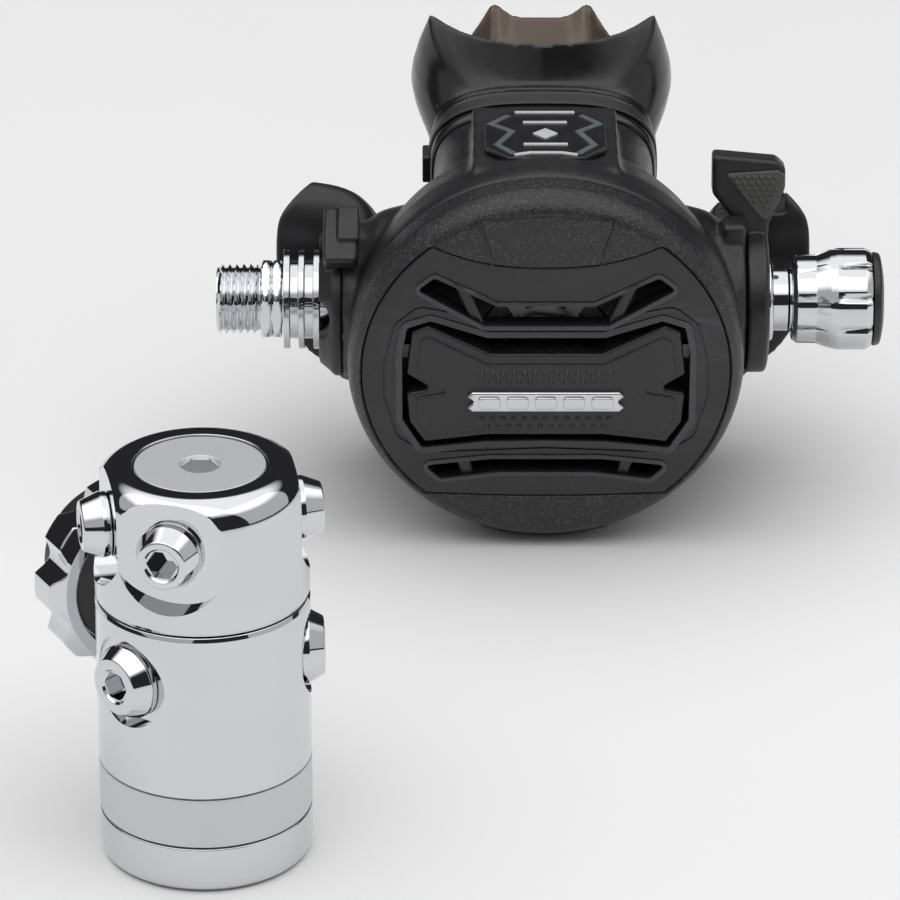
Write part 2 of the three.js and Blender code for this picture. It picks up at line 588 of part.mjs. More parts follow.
function addAdjuster() {
  addPiece(secondStage, 'adjuster_collar', toRight(sleeve(6.8, 8.5, 40.8, 46, 18)), chrome);
  addPiece(secondStage, 'adjuster_oring', toRight(ringSeal(3.9, 1.6).translate(0, 0, 31)), darkRubber);
  addPiece(secondStage, 'adjuster_shaft', toRight(turned([
    [0, 33.4], [4.7, 33.4], [4.7, 40.6], [6.3, 40.6], [6.3, 56], [0, 56],
  ], 16)), chrome);
  const flutes = Array.from({ length: 9 }, (_, i) => (
    rod(3.4, 57.5, 67, 8).translate(12.5, 0, 0).rotateZ((2 * Math.PI * i) / 9)
  ));
  const knob = turned([
    [6.6, 49.9], [8.2, 49.9], [8.85, 50.6], [8.85, 56.2], [10.2, 57.2], [10.2, 64.6], [9.6, 65.9],
    [7.2, 65.9], [7.2, 57], [6.6, 57], [6.6, 49.9],
  ], 24);
  addPiece(secondStage, 'adjuster_knob', toRight(cut(knob, ...flutes)), chrome);
  addPiece(secondStage, 'knob_cap', toRight(turned([
    [0, 57.4], [6.8, 57.4], [6.8, 66.2], [9.0, 66.2], [8.6, 67.7], [0, 67.7],
  ], 18)), blackPlastic);
}

// ---------- second stage: exhaust ----------

// The line that the tee's two mouths are cut off along, seen from the front.
const TEE_ENDS = [
  [0, 20], [44, 15], [48.5, 9], [53, 2], [TEE_HALF, -4], [53.5, -12], [50, -20], [42.5, -28], [38, -42],
  [0, -60],
];

function teeStations(wall, reach) {
  const right = [
    { at: 0, u: 17, v: -30, a: 17, b: 15.8 },
    { at: 14, u: 18.5, v: -29, a: 15.6, b: 15.4 },
    { at: 28, u: 22, v: -23, a: 11.6, b: 14.6 },
    { at: 42, u: 25, v: -14.5, a: 10.6, b: 17.6 },
    { at: reach, u: 25.6, v: -10, a: 11.4, b: 22 },
  ];
  const left = right.slice(1).reverse().map((station) => ({ ...station, at: -station.at }));
  return [...left, ...right].map((station) => ({ ...station, a: station.a - wall, b: station.b - wall }));
}

function addExhaust() {
  const outer = loft('x', teeStations(0, TEE_HALF), 28);
  const inner = loft('x', teeStations(2, TEE_HALF + 1), 24);
  const seatClearance = toExhaust(rod(11 + GAP, -4, 2.7, 16));
  const ends = toFront(prism(mirrored(TEE_ENDS), -60, 10));
  const tee = cut(overlap(outer, ends), inner, caseForm(GAP), seatClearance);
  addPiece(secondStage, 'exhaust_tee', tee, blackPlastic);
  const valve = turned([
    [0, 1.2], [1.2, 1.2], [1.2, 2.8], [10.4, 2.8], [10.4, 3.6], [0, 4.2],
  ], 16);
  addPiece(secondStage, 'exhaust_valve', toExhaust(valve), smokySilicone);
}

// ---------- second stage: mouthpiece ----------

function bridgeShape() {
  return mirrored([
    [0, 27.6], [5, 28.4], [9.5, 30.6], [13.4, 28], [17, 20], [17, 10], [14, 10], [13.4, 17.5], [9, 22.4],
    [0, 22],
  ]);
}

function addMouthpiece() {
  const outer = loft('y', [
    { at: NECK_END + GAP, u: 0, v: NECK_Z, a: 22.5, b: 14.4, power: 3 },
    { at: STUB_END, u: 0, v: NECK_Z, a: 22.5, b: 14.4, power: 3 },
    { at: 38.5, u: 0, v: NECK_Z, a: 24.2, b: 18, power: 3 },
    { at: 41.5, u: 0, v: NECK_Z, a: 25.8, b: 21, power: 3.4 },
    { at: 45, u: 0, v: NECK_Z, a: 26.8, b: 22.4, power: 4.5 },
    { at: 49.5, u: 0, v: NECK_Z, a: 27.2, b: 24.6, power: 5 },
  ], 20);
  const socket = loft('y', [
    { at: NECK_END - 1, u: 0, v: NECK_Z, a: 19.8, b: 11.7, power: 3 },
    { at: STUB_END + GAP, u: 0, v: NECK_Z, a: 19.8, b: 11.7, power: 3 },
  ], 18);
  const passage = loft('y', [
    { at: 30, u: 0, v: NECK_Z, a: 16, b: 7.6, power: 2.6 },
    { at: 60, u: 0, v: NECK_Z, a: 16, b: 7.6, power: 2.6 },
  ], 18);
  const dish = rod(34, -60, 60, 28).translate(0, 75, NECK_Z);
  const wings = [-1, 1].map((side) => loft('y', [
    { at: 40, u: side * 16, v: NECK_Z, a: 1.6, b: 5, power: 3 },
    { at: 66, u: side * 15.5, v: NECK_Z, a: 1.5, b: 5, power: 3 },
  ], 8));
  const bridge = toFront(prism(bridgeShape(), -68.6, -65.6));
  const flange = cut(outer, dish);
  addPiece(secondStage, 'mouthpiece', join(cut(flange, socket, passage), ...wings, bridge), smokySilicone);

  const bandOuter = loft('y', [
    { at: 27.6, u: 0, v: NECK_Z, a: 24, b: 15.9, power: 3 },
    { at: 32, u: 0, v: NECK_Z, a: 24, b: 15.9, power: 3 },
  ], 20);
  const bandInner = loft('y', [
    { at: 27, u: 0, v: NECK_Z, a: 22.8, b: 14.7, power: 3 },
    { at: 33, u: 0, v: NECK_Z, a: 22.8, b: 14.7, power: 3 },
  ], 20);
  const heads = [block(-25.6, -23.2, 27, 32.6, NECK_Z - 3, NECK_Z + 3)];
  addPiece(secondStage, 'mouthpiece_clamp', cut(join(bandOuter, ...heads), bandInner), blackPlastic);
}

function addNeckBadge() {
  const half = [[0, 11.8], [7.4, 11.8], [12, 6.4], [12, -6.4], [7.4, -11.8], [0, -11.8]];
  const [[frontY, frontZ], [backY, backZ]] = PLINTH_TOP;
  const rise = (backZ - frontZ) / (backY - frontY);
  const centreY = 3;
  const badge = prism(mirrored(half), GAP, 1.5).rotateX(Math.atan(rise));
  badge.translate(0, centreY, frontZ + rise * (centreY - frontY));
  addPiece(secondStage, 'neck_badge', badge, smoothPlastic);
}

addDiaphragmEnd();
addFirstStageBody();
addPlugs();
addTurret();
addCylinderFitting();
addCase();
addCover();
addPurge();
addDemandValve();
addInlet();
addVenturi();
addAdjuster();
addExhaust();
addMouthpiece();
addNeckBadge();

export default regulator;
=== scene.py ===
import json
import math

import bmesh
import bpy
from mathutils import Matrix, Vector


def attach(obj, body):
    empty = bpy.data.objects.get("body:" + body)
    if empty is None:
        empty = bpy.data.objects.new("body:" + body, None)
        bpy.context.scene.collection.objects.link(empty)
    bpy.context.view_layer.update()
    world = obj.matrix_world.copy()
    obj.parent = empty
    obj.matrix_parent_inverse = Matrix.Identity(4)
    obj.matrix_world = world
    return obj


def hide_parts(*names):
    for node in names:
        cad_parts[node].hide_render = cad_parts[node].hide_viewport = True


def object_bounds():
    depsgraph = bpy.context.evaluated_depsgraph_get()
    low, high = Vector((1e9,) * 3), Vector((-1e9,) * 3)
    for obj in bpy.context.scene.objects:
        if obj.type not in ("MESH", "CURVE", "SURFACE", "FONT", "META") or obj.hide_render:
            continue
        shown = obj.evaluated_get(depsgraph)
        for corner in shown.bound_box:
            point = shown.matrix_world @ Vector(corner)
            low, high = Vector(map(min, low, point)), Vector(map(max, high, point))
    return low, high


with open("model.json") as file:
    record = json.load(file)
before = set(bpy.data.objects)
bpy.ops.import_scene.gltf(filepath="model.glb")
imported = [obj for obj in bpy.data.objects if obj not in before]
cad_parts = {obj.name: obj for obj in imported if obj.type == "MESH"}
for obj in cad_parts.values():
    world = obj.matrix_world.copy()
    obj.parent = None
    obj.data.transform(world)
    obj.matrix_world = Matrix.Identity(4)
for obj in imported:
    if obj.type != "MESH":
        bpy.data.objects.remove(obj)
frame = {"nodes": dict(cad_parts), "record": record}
CAD_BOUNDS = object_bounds()

# Every form is made in millimetres in the frame of its own unit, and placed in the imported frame
# at the end. The first stage's frame stands on the floor under its own axis. The second stage's
# is on its valve axis: x to the right, y to the rear and z up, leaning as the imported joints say.

MM = 0.001
DEG = math.pi / 180
SEGMENTS = 96
TO_FRONT = Matrix.Rotation(90 * DEG, 4, "X")      # +Z becomes -Y
TO_RIGHT = Matrix.Rotation(90 * DEG, 4, "Y")      # +Z becomes +X
SIDEWAYS = Matrix(((0, 0, 1, 0), (1, 0, 0, 0), (0, 1, 0, 0), (0, 0, 0, 1)))   # x, y become y, z
VENTURI_X = 42.5                                  # where the venturi joint sits along the valve axis

joints = {joint["name"]: joint for joint in frame["record"]["behaviour"]["joints"]}


def unit_frame(origin, lean=0.0):
    return Matrix.Translation(origin) @ Matrix.Rotation(lean, 4, "X") @ Matrix.Scale(MM, 4)


turret_axis = Vector(joints["turret_swivel"]["pos_m"])
valve_axis = Vector(joints["venturi_turn"]["pos_m"]) - Vector((VENTURI_X * MM, 0, 0))
rearward = Vector(joints["purge_press"]["axis"])
FIRST = unit_frame((turret_axis.x, turret_axis.y, 0))
SECOND = unit_frame(valve_axis, math.atan2(rearward.z, rearward.y))


# ---------- forms ----------

class Form:
    """Points in millimetres and the faces between them."""

    def __init__(self, points=(), faces=()):
        self.points = [Vector(point) for point in points]
        self.faces = [tuple(face) for face in faces]

    def __add__(self, other):
        base = len(self.points)
        faces = [tuple(i + base for i in face) for face in other.faces]
        return Form(self.points + other.points, self.faces + faces)

    def moved(self, *matrices):
        points = self.points
        for matrix in matrices:
            points = [matrix @ point for point in points]
        return Form(points, self.faces)

    def shifted(self, x=0.0, y=0.0, z=0.0):
        return self.moved(Matrix.Translation((x, y, z)))


def joined(forms):
    total = Form()
    for form in forms:
        total = total + form
    return total


def softened(points, radius=0.3, closed=True, steps=4):
    """The outline with each corner rounded. A point may carry its own radius as a third number."""
    result = []
    count = len(points)
    for i, point in enumerate(points):
        corner = Vector(point[:2])
        size = point[2] if len(point) > 2 else radius
        if size == 0 or (not closed and i in (0, count - 1)):
            result.append(corner)
            continue
        back = Vector(points[i - 1][:2]) - corner
        ahead = Vector(points[(i + 1) % count][:2]) - corner
        turn = back.angle(ahead)
        if turn > 176 * DEG:
            result.append(corner)
            continue
        reach = min(size / math.tan(turn / 2), back.length * 0.45, ahead.length * 0.45)
        start = corner + back.normalized() * reach
        end = corner + ahead.normalized() * reach
        for step in range(steps + 1):
            t = step / steps
            result.append(start * (1 - t) ** 2 + corner * 2 * t * (1 - t) + end * t ** 2)
    return [(point.x, point.y) for point in result]


def bent(start, corner, end, steps=10):
    """Points on the curve from start to end that leaves and arrives along lines to the corner."""
    result = []
    for step in range(steps + 1):
        t = step / steps
        result.append(tuple(a * (1 - t) ** 2 + b * 2 * t * (1 - t) + c * t ** 2
                            for a, b, c in zip(start, corner, end)))
    return result


def spun(profile, segments=SEGMENTS):
    """Turns a profile of (radius, height) about +Z; it may be a function of the angle. A profile
    that starts and ends on the axis makes a solid, and any other is a closed loop."""
    profile_at = profile if callable(profile) else (lambda angle: profile)
    first = profile_at(0)
    solid = first[0][0] == 0 and first[-1][0] == 0
    points = []
    for k in range(segments):
        angle = 2 * math.pi * k / segments
        rim = profile_at(angle)
        rim = rim[1:-1] if solid else rim
        points += [(r * math.cos(angle), r * math.sin(angle), h) for r, h in rim]
    rows = len(points) // segments
    faces = []
    for k in range(segments):
        here, there = k * rows, ((k + 1) % segments) * rows
        for i in range(rows - 1 if solid else rows):
            j = (i + 1) % rows
            faces.append((here + i, there + i, there + j, here + j))
    if solid:
        low, high = len(points), len(points) + 1
        points += [(0, 0, first[0][1]), (0, 0, first[-1][1])]
        for k in range(segments):
            here, there = k * rows, ((k + 1) % segments) * rows
            faces += [(low, there, here), (high, here + rows - 1, there + rows - 1)]
    return Form(points, faces)


def rod(radius, low, high, soft=0.0, segments=SEGMENTS):
    outline = [(0, low), (radius, low), (radius, high), (0, high)]
    return spun(softened(outline, soft, closed=False), segments)


def sleeve(inner, outer, low, high, soft=0.3, segments=SEGMENTS):
    return spun(softened([(inner, low), (outer, low), (outer, high), (inner, high)], soft), segments)


def skinned(rings, wrap=False):
    """Joins rings of the same number of points. Without wrap the two ends are capped."""
    size = len(rings[0])
    points = [point for ring in rings for point in ring]
    faces = []
    for r in range(len(rings) if wrap else len(rings) - 1):
        here, there = r * size, ((r + 1) % len(rings)) * size
        for i in range(size):
            j = (i + 1) % size
            faces.append((here + i, here + j, there + j, there + i))
    if not wrap:
        faces.append(tuple(range(size))[::-1])
        faces.append(tuple(len(points) - size + i for i in range(size)))
    return Form(points, faces)


def superellipse(a, b, power, segments=SEGMENTS):
    """Points of a rounded outline, as (u, v); power 2 is an ellipse."""
    outline = []
    for k in range(segments):
        c, s = math.cos(2 * math.pi * k / segments), math.sin(2 * math.pi * k / segments)
        outline.append((math.copysign(a * abs(c) ** (2 / power), c),
                        math.copysign(b * abs(s) ** (2 / power), s)))
    return outline


def eased(stations, per_span=5):
    """More stations on a smooth curve through the given ones, which are tuples of numbers."""
    result = []
    for i in range(len(stations) - 1):
        before, here, there, after = (
            stations[min(max(j, 0), len(stations) - 1)] for j in (i - 1, i, i + 1, i + 2)
        )
        for k in range(per_span):
            t = k / per_span
            result.append(tuple(
                q + 0.5 * t * ((r - p) + t * ((2 * p - 5 * q + 4 * r - s) + t * (3 * q - p - 3 * r + s)))
                for p, q, r, s in zip(before, here, there, after)
            ))
    result.append(tuple(stations[-1]))
    return result


def loft(along, stations, segments=48):
    """A form through stations (at, u, v, a, b, power) along x or y."""
    rings = []
    for at, u, v, a, b, power in stations:
        outline = superellipse(a, b, power, segments)
        if along == "x":
            rings.append([(at, u + p, v + q) for p, q in outline])
        else:
            rings.append([(u + p, at, v + q) for p, q in outline])
    return skinned(rings)


def new_object(name, form):
    mesh = bpy.data.meshes.new(name)
    mesh.from_pydata([tuple(point) for point in form.points], [], form.faces)
    shape = bmesh.new()
    shape.from_mesh(mesh)
    bmesh.ops.remove_doubles(shape, verts=shape.verts, dist=1e-3)
    bmesh.ops.dissolve_degenerate(shape, edges=shape.edges, dist=1e-4)
    bmesh.ops.recalc_face_normals(shape, faces=shape.faces)
    shape.to_mesh(mesh)
    shape.free()
    item = bpy.data.objects.new(name, mesh)
    bpy.context.scene.collection.objects.link(item)
    return item


def evaluated(item):
    """The form of an object with its modifiers applied. The object is removed."""
    graph = bpy.context.evaluated_depsgraph_get()
    graph.update()
    mesh = bpy.data.meshes.new_from_object(item.evaluated_get(graph), depsgraph=graph)
    form = Form([v.co for v in mesh.vertices], [tuple(p.vertices) for p in mesh.polygons])
    bpy.data.objects.remove(item)
    bpy.data.meshes.remove(mesh)
    return form


def modified(form, *settings):
    item = new_object("work", form)
    for kind, values in settings:
        modifier = item.modifiers.new(kind, kind)
        for key, value in values.items():
            setattr(modifier, key, value)
    return evaluated(item)


def combined(form, tools, operation):
    helpers = [new_object("tool", tool) for tool in tools]
    settings = [("BOOLEAN", {"object": helper, "operation": operation, "solver": "EXACT"})
                for helper in helpers]
    result = modified(form, *settings)
    for helper in helpers:
        bpy.data.objects.remove(helper)
    return result


def carved(form, *tools):
    return combined(form, tools, "DIFFERENCE")


def fused(form, voxel, smoothing):
    """One skin round overlapping closed forms, with its creases blended."""
    return modified(
        form,
        ("REMESH", {"mode": "VOXEL", "voxel_size": voxel}),
        ("SMOOTH", {"factor": 0.5, "iterations": smoothing}),
    )


def bevelled(form, width):
    return modified(form, ("BEVEL", {
        "width": width, "segments": 2, "limit_method": "ANGLE", "angle_limit": 28 * DEG,
        "use_clamp_overlap": True,
    }))


def plate(outlines, low, high, edge=0.3, steps=2):
    """A flat form between two heights with rounded edges. The first outline is its outside, and
    the others are holes through it."""
    curve = bpy.data.curves.new("plate", "CURVE")
    curve.dimensions = "2D"
    curve.fill_mode = "BOTH"
    curve.extrude = (high - low) / 2 - edge
    curve.bevel_depth = edge
    curve.bevel_resolution = steps
    curve.offset = -edge
    for index, outline in enumerate(outlines):
        area = sum(p[0] * q[1] - q[0] * p[1] for p, q in zip(outline, outline[1:] + outline[:1]))
        points = outline if (area > 0) == (index == 0) else outline[::-1]
        spline = curve.splines.new("POLY")
        spline.points.add(len(points) - 1)
        for target, (x, y) in zip(spline.points, points):
            target.co = (x, y, 0, 1)
        spline.use_cyclic_u = True
    item = bpy.data.objects.new("plate", curve)
    bpy.context.scene.collection.objects.link(item)
    return evaluated(item).shifted(z=(low + high) / 2)


def mirrored(half):
    """A whole outline from the points of its right half, top centre to bottom centre."""
    left = [(-p[0], *p[1:]) for p in half if p[0] > 0][::-1]
    return list(half) + left


def grown(outline, distance):
    """A closed outline moved outwards. The outline runs clockwise or anticlockwise."""
    area = sum(p[0] * q[1] - q[0] * p[1] for p, q in zip(outline, outline[1:] + outline[:1]))
    result = []
    for i, point in enumerate(outline):
        before, after = Vector(outline[i - 1]), Vector(outline[(i + 1) % len(outline)])
        along = (after - before).normalized() * math.copysign(distance, area)
        result.append((point[0] + along.y, point[1] - along.x))
    return result


def rounded(outline, passes=2):
    """A closed outline with its corners cut off again and again until it's smooth."""
    for _ in range(passes):
        pairs = zip(outline, outline[1:] + outline[:1])
        outline = [tuple(Vector(p).lerp(Vector(q), share)) for p, q in pairs for share in (0.25, 0.75)]
    return outline


def stroke(points, width):
    """The outline of a line of that width through the points."""
    sides = ([], [])
    path = [Vector(point) for point in points]
    for i, point in enumerate(path):
        ahead = (path[min(i + 1, len(path) - 1)] - point).normalized()
        behind = (point - path[max(i - 1, 0)]).normalized()
        along = (ahead + behind).normalized() if ahead.length and behind.length else ahead + behind
        normal = Vector((-along.y, along.x))
        lean = max(normal.dot(Vector((-ahead.y, ahead.x))), 0.5) if ahead.length else 1
        for side, sign in zip(sides, (1, -1)):
            side.append(tuple(point + normal * sign * width / 2 / lean))
    return sides[0] + sides[1][::-1]


def cone_row(xs, y, radius, height, base):
    """A row of small blunt cones that stand on the plane at that height."""
    cone = spun(softened([(0, -0.3), (radius, -0.3), (radius * 0.25, height), (0, height)],
                         0.1, closed=False), 12)
    return joined(cone.shifted(x, y, base) for x in xs)


# ---------- materials ----------

def node_tree(name):
    material = bpy.data.materials.new(name)
    material.use_nodes = True
    return material, material.node_tree.nodes, material.node_tree.links


def noise(nodes, links, scale, detail=3.0):
    place = nodes.new("ShaderNodeTexCoord")
    texture = nodes.new("ShaderNodeTexNoise")
    texture.inputs["Scale"].default_value = scale
    texture.inputs["Detail"].default_value = detail
    links.new(place.outputs["Object"], texture.inputs["Vector"])
    return texture.outputs["Fac"]


def ranged(nodes, links, value, low, high, start=0.3, end=0.7):
    """Maps a value that runs from start to end onto low to high."""
    span = nodes.new("ShaderNodeMapRange")
    for key, number in (("From Min", start), ("From Max", end), ("To Min", low), ("To Max", high)):
        span.inputs[key].default_value = number
    links.new(value, span.inputs["Value"])
    return span.outputs["Result"]


def tinted(nodes, links, value, first, second):
    mix = nodes.new("ShaderNodeMix")
    mix.data_type = "RGBA"
    mix.inputs["A"].default_value = (*first, 1)
    mix.inputs["B"].default_value = (*second, 1)
    links.new(value, mix.inputs["Factor"])
    return mix.outputs["Result"]


def bumped(nodes, links, value, distance, under=None):
    bump = nodes.new("ShaderNodeBump")
    bump.inputs["Distance"].default_value = distance
    bump.inputs["Strength"].default_value = 1.0
    links.new(value, bump.inputs["Height"])
    if under:
        links.new(under, bump.inputs["Normal"])
    return bump.outputs["Normal"]


def edge_highlight_mask(nodes, links, low, high):
    """0 on flat and hollow surfaces, 1 on sharp outer edges, where a highlight is painted paler."""
    geometry = nodes.new("ShaderNodeNewGeometry")
    return ranged(nodes, links, geometry.outputs["Pointiness"], 0, 1, low, high)


def surface(name, tints, roughness, metallic=0.0, patch=60, grain=None, marks=None, edge=None):
    """A material whose colour and roughness wander between two values over patches, with a fine
    grain (scale, depth) and coarser marks (scale, depth) in its relief, and a highlight painted
    paler on its sharp edges."""
    material, nodes, links = node_tree(name)
    shader = nodes["Principled BSDF"]
    shader.inputs["Metallic"].default_value = metallic
    wander = ranged(nodes, links, noise(nodes, links, patch, 4), 0, 1)
    color = tinted(nodes, links, wander, *tints)
    # Painted highlight: sharp edges are mixed towards the paler edge colour.
    if edge:
        rim = nodes.new("ShaderNodeMix")
        rim.data_type = "RGBA"
        rim.inputs["B"].default_value = (*edge, 1)
        links.new(edge_highlight_mask(nodes, links, 0.53, 0.62), rim.inputs["Factor"])
        links.new(color, rim.inputs["A"])
        color = rim.outputs["Result"]
    links.new(color, shader.inputs["Base Color"])
    speckle = noise(nodes, links, patch * 7, 5)
    links.new(ranged(nodes, links, speckle, *roughness), shader.inputs["Roughness"])
    normal = None
    for relief in (marks, grain):
        if relief:
            scale, depth = relief
            normal = bumped(nodes, links, noise(nodes, links, scale, 2), depth, under=normal)
    if normal:
        links.new(normal, shader.inputs["Normal"])
    return material


def smoky_silicone():
    """Clear resin that darkens with thickness, so that thin walls glow and thick ones look black."""
    material, nodes, links = node_tree("smoky_silicone")
    shader = nodes["Principled BSDF"]
    shader.inputs["Transmission Weight"].default_value = 0.95
    shader.inputs["IOR"].default_value = 1.41
    wander = ranged(nodes, links, noise(nodes, links, 70, 4), 0, 1)
    links.new(tinted(nodes, links, wander, (0.34, 0.29, 0.25), (0.29, 0.245, 0.21)),
              shader.inputs["Base Color"])
    links.new(ranged(nodes, links, noise(nodes, links, 500, 4), 0.14, 0.24), shader.inputs["Roughness"])
    links.new(bumped(nodes, links, noise(nodes, links, 160, 2), 0.00003), shader.inputs["Normal"])
    smoke = nodes.new("ShaderNodeVolumeAbsorption")
    smoke.inputs["Color"].default_value = (0.40, 0.30, 0.22, 1)
    smoke.inputs["Density"].default_value = 1000
    links.new(smoke.outputs["Volume"], nodes["Material Output"].inputs["Volume"])
    return material


def grained_plastic():
    """Black plastic with the coarse spark-eroded grain of a moulded cover, and pale specks painted into its
    colour as glints.
    """
    material, nodes, links = node_tree("grained_plastic")
    shader = nodes["Principled BSDF"]
    # Painted highlights: pale bluish specks in the base colour that stand in for glints on the grain.
    painted_glints = ranged(nodes, links, noise(nodes, links, 1900, 2), 0, 1, 0.5, 0.72)
    links.new(tinted(nodes, links, painted_glints, (0.013, 0.013, 0.014), (0.058, 0.060, 0.066)),
              shader.inputs["Base Color"])
    links.new(ranged(nodes, links, noise(nodes, links, 900, 3), 0.28, 0.46), shader.inputs["Roughness"])
    coarse = noise(nodes, links, 2200, 2)
    pits = nodes.new("ShaderNodeTexVoronoi")
    pits.inputs["Scale"].default_value = 2600
    links.new(nodes["Texture Coordinate"].outputs["Object"], pits.inputs["Vector"])
    normal = bumped(nodes, links, coarse, 0.00012)
    normal = bumped(nodes, links, pits.outputs["Distance"], 0.00006, under=normal)
    links.new(normal, shader.inputs["Normal"])
    return material


CHROME = surface("chrome", ((0.67, 0.68, 0.70), (0.63, 0.64, 0.665)), (0.03, 0.06), metallic=1.0,
                 patch=45, marks=(35, 0.000002))
SATIN = surface("satin_chrome", ((0.66, 0.67, 0.68), (0.64, 0.65, 0.66)), (0.42, 0.45), metallic=0.45,
                patch=60, grain=(2600, 0.000002))
BRASS = surface("brass", ((0.66, 0.50, 0.24), (0.58, 0.43, 0.20)), (0.22, 0.36), metallic=1.0,
                patch=80, grain=(1800, 0.00001))
STEEL = surface("spring_steel", ((0.20, 0.20, 0.21), (0.15, 0.15, 0.155)), (0.3, 0.42), metallic=1.0,
                patch=90, grain=(2400, 0.00001))
RUBBER = surface("black_rubber", ((0.015, 0.015, 0.015), (0.024, 0.024, 0.024)), (0.6, 0.8),
                 patch=70, grain=(1500, 0.00003))
# The edge colour of a finish below is a highlight painted on its sharp edges.
PLASTIC = surface("black_plastic", ((0.014, 0.014, 0.015), (0.019, 0.019, 0.021)), (0.34, 0.46),
                  patch=50, grain=(1900, 0.00003), marks=(60, 0.00004), edge=(0.04, 0.04, 0.043))
SMOOTH = surface("smooth_plastic", ((0.014, 0.014, 0.016), (0.019, 0.019, 0.022)), (0.22, 0.32),
                 patch=45, grain=(2300, 0.00001), marks=(40, 0.00004), edge=(0.05, 0.05, 0.055))
GREY = surface("grey_plastic", ((0.060, 0.060, 0.058), (0.075, 0.074, 0.071)), (0.45, 0.6),
               patch=60, grain=(1900, 0.00004), edge=(0.12, 0.12, 0.115))
GRAINED = grained_plastic()
SILICONE = surface("dark_silicone", ((0.012, 0.012, 0.013), (0.017, 0.016, 0.016)), (0.16, 0.24),
                   patch=45, marks=(30, 0.00004), edge=(0.05, 0.048, 0.046))
SMOKY = smoky_silicone()
PALE = surface("pale_inlay", ((0.62, 0.63, 0.63), (0.55, 0.56, 0.56)), (0.3, 0.45), patch=80,
               grain=(1800, 0.00001))
SLATE = surface("slate_inlay", ((0.11, 0.13, 0.145), (0.09, 0.105, 0.12)), (0.35, 0.5), patch=80,
                grain=(1800, 0.00001))

FINISHES = {
    "chrome": CHROME, "satin_chrome": SATIN, "brass": BRASS, "spring_steel": STEEL,
    "black_rubber": RUBBER, "black_plastic": PLASTIC, "grained_plastic": GRAINED,
    "smooth_plastic": SMOOTH, "grey_plastic": GREY, "smoky_silicone": SILICONE,
}

node_slot = {part["node"]: part["material_slot"] for part in frame["record"]["subparts"]}
node_body = {node: body for body, members in frame["record"]["behaviour"]["bodies"].items()
             for node in members}

# The demand diaphragm shows through the vents, where it looks like black rubber.
for node, item in frame["nodes"].items():
    item.data.materials.clear()
    item.data.materials.append(RUBBER if node == "demand_diaphragm" else FINISHES[node_slot[node]])


def add_piece(name, form, unit, stands_for=None, material=None, crease=40):
    """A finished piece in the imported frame. By default it stands for the CAD node of its own name."""
    node = stands_for or name
    item = new_object("visual_" + name if name in frame["nodes"] else name, form)
    item.data.transform(unit)
    for polygon in item.data.polygons:
        polygon.use_smooth = True
    item.data.set_sharp_from_angle(angle=crease * DEG)
    weighted = item.modifiers.new("normals", "WEIGHTED_NORMAL")
    weighted.keep_sharp = True
    item.data.materials.append(material or FINISHES[node_slot[node]])
    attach(item, node_body[node])
    if name in frame["nodes"]:
        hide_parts(name)


# ---------- first stage ----------

BODY_R = 19.24
LOW_PORTS = {"height": 66.0, "azimuths": (-16.5, -78, 100, 163), "seat": 16.6, "spot": 10.8,
             "bore": 4.6, "head": 5.9}
HIGH_PORTS = {"height": 39.6, "azimuths": (-45, 94), "seat": 17.2, "spot": 8.5, "bore": 5.4,
              "head": 6.85}
PLUG_FACE = 21.7
FITTING = {"azimuth": -152, "height": 43.1}


def to_azimuth(form, azimuth, height):
    return form.moved(TO_FRONT, Matrix.Rotation(azimuth * DEG, 4, "Z")).shifted(z=height)


def port_cutters(ports):
    cutters = []
    for azimuth in ports["azimuths"]:
        disc = rod(ports["spot"], ports["seat"], BODY_R + 2)
        cutters.append(to_azimuth(disc, azimuth, ports["height"]))
        bore = rod(ports["bore"], 5, BODY_R + 2, segments=48)
        cutters.append(to_azimuth(bore, azimuth, ports["height"]))
    return cutters


def hex_prism(across_flats, low, high):
    return rod(across_flats / math.sqrt(3), low, high, segments=6)


def add_end_cap():
    add_piece("end_cap", spun(softened([
        (12.8, 0), (17.9, 0, 0.8), (18.9, 0.9, 1.2), (BODY_R, 3.0, 2), (BODY_R, 9.0, 0.35),
        (15.3, 9.0), (15.3, 3.1), (12.8, 3.1),
    ])), FIRST)
    add_piece("diaphragm_clamp", spun(softened([
        (12.2, 4.8), (15.0, 4.8), (15.0, 9.3), (BODY_R, 9.3, 0.4), (BODY_R, 18.8, 0.3),
        (10.5, 18.8), (10.5, 8.8), (12.2, 7.4),
    ])), FIRST)


def add_first_stage_body():
    outline = softened([
        (0, 24.5), (9.5, 24.5), (9.5, 20.4), (16.2, 20.4), (16.2, 19.1), (BODY_R, 19.1, 0.3),
        (BODY_R, 50.2, 0.3), (18.9, 51.0, 0.3), (7, 51.0), (7, 70), (5.9, 70), (5.9, 56), (0, 56),
    ], closed=False)
    inlet = [rod(7.8, 18.5, BODY_R + 2), rod(6.7, 12, BODY_R + 2, segments=48)]
    inlet = [to_azimuth(form, FITTING["azimuth"], FITTING["height"]) for form in inlet]
    body = carved(spun(outline, 128), *port_cutters(HIGH_PORTS), *inlet)
    add_piece("first_stage_body", bevelled(body, 0.22), FIRST, crease=50)


def add_turret():
    shoulder = bent((BODY_R, 69.6), (18.95, 75.5), (14.7, 76.2), 12)
    outline = softened([
        (7.3, 51.3), (18.9, 51.3, 0.3), (BODY_R, 52.1, 0.4), *[(*point, 0) for point in shoulder],
        (12.0, 76.2, 0.25), (12.0, 73.8), (7.3, 73.8),
    ])
    turret = carved(spun(outline, 128), *port_cutters(LOW_PORTS))
    add_piece("turret", bevelled(turret, 0.22), FIRST, crease=50)
    bolt = spun(softened([
        (0, 58), (5.5, 58), (5.5, 74.1), (11.7, 74.1, 0.2), (11.7, 76.0, 0.3), (3.7, 76.0, 0.3),
        (3.3, 75.4, 0.1), (0, 75.4),
    ], closed=False))
    add_piece("turret_bolt", carved(bolt, hex_prism(6, 71, 77)), FIRST)


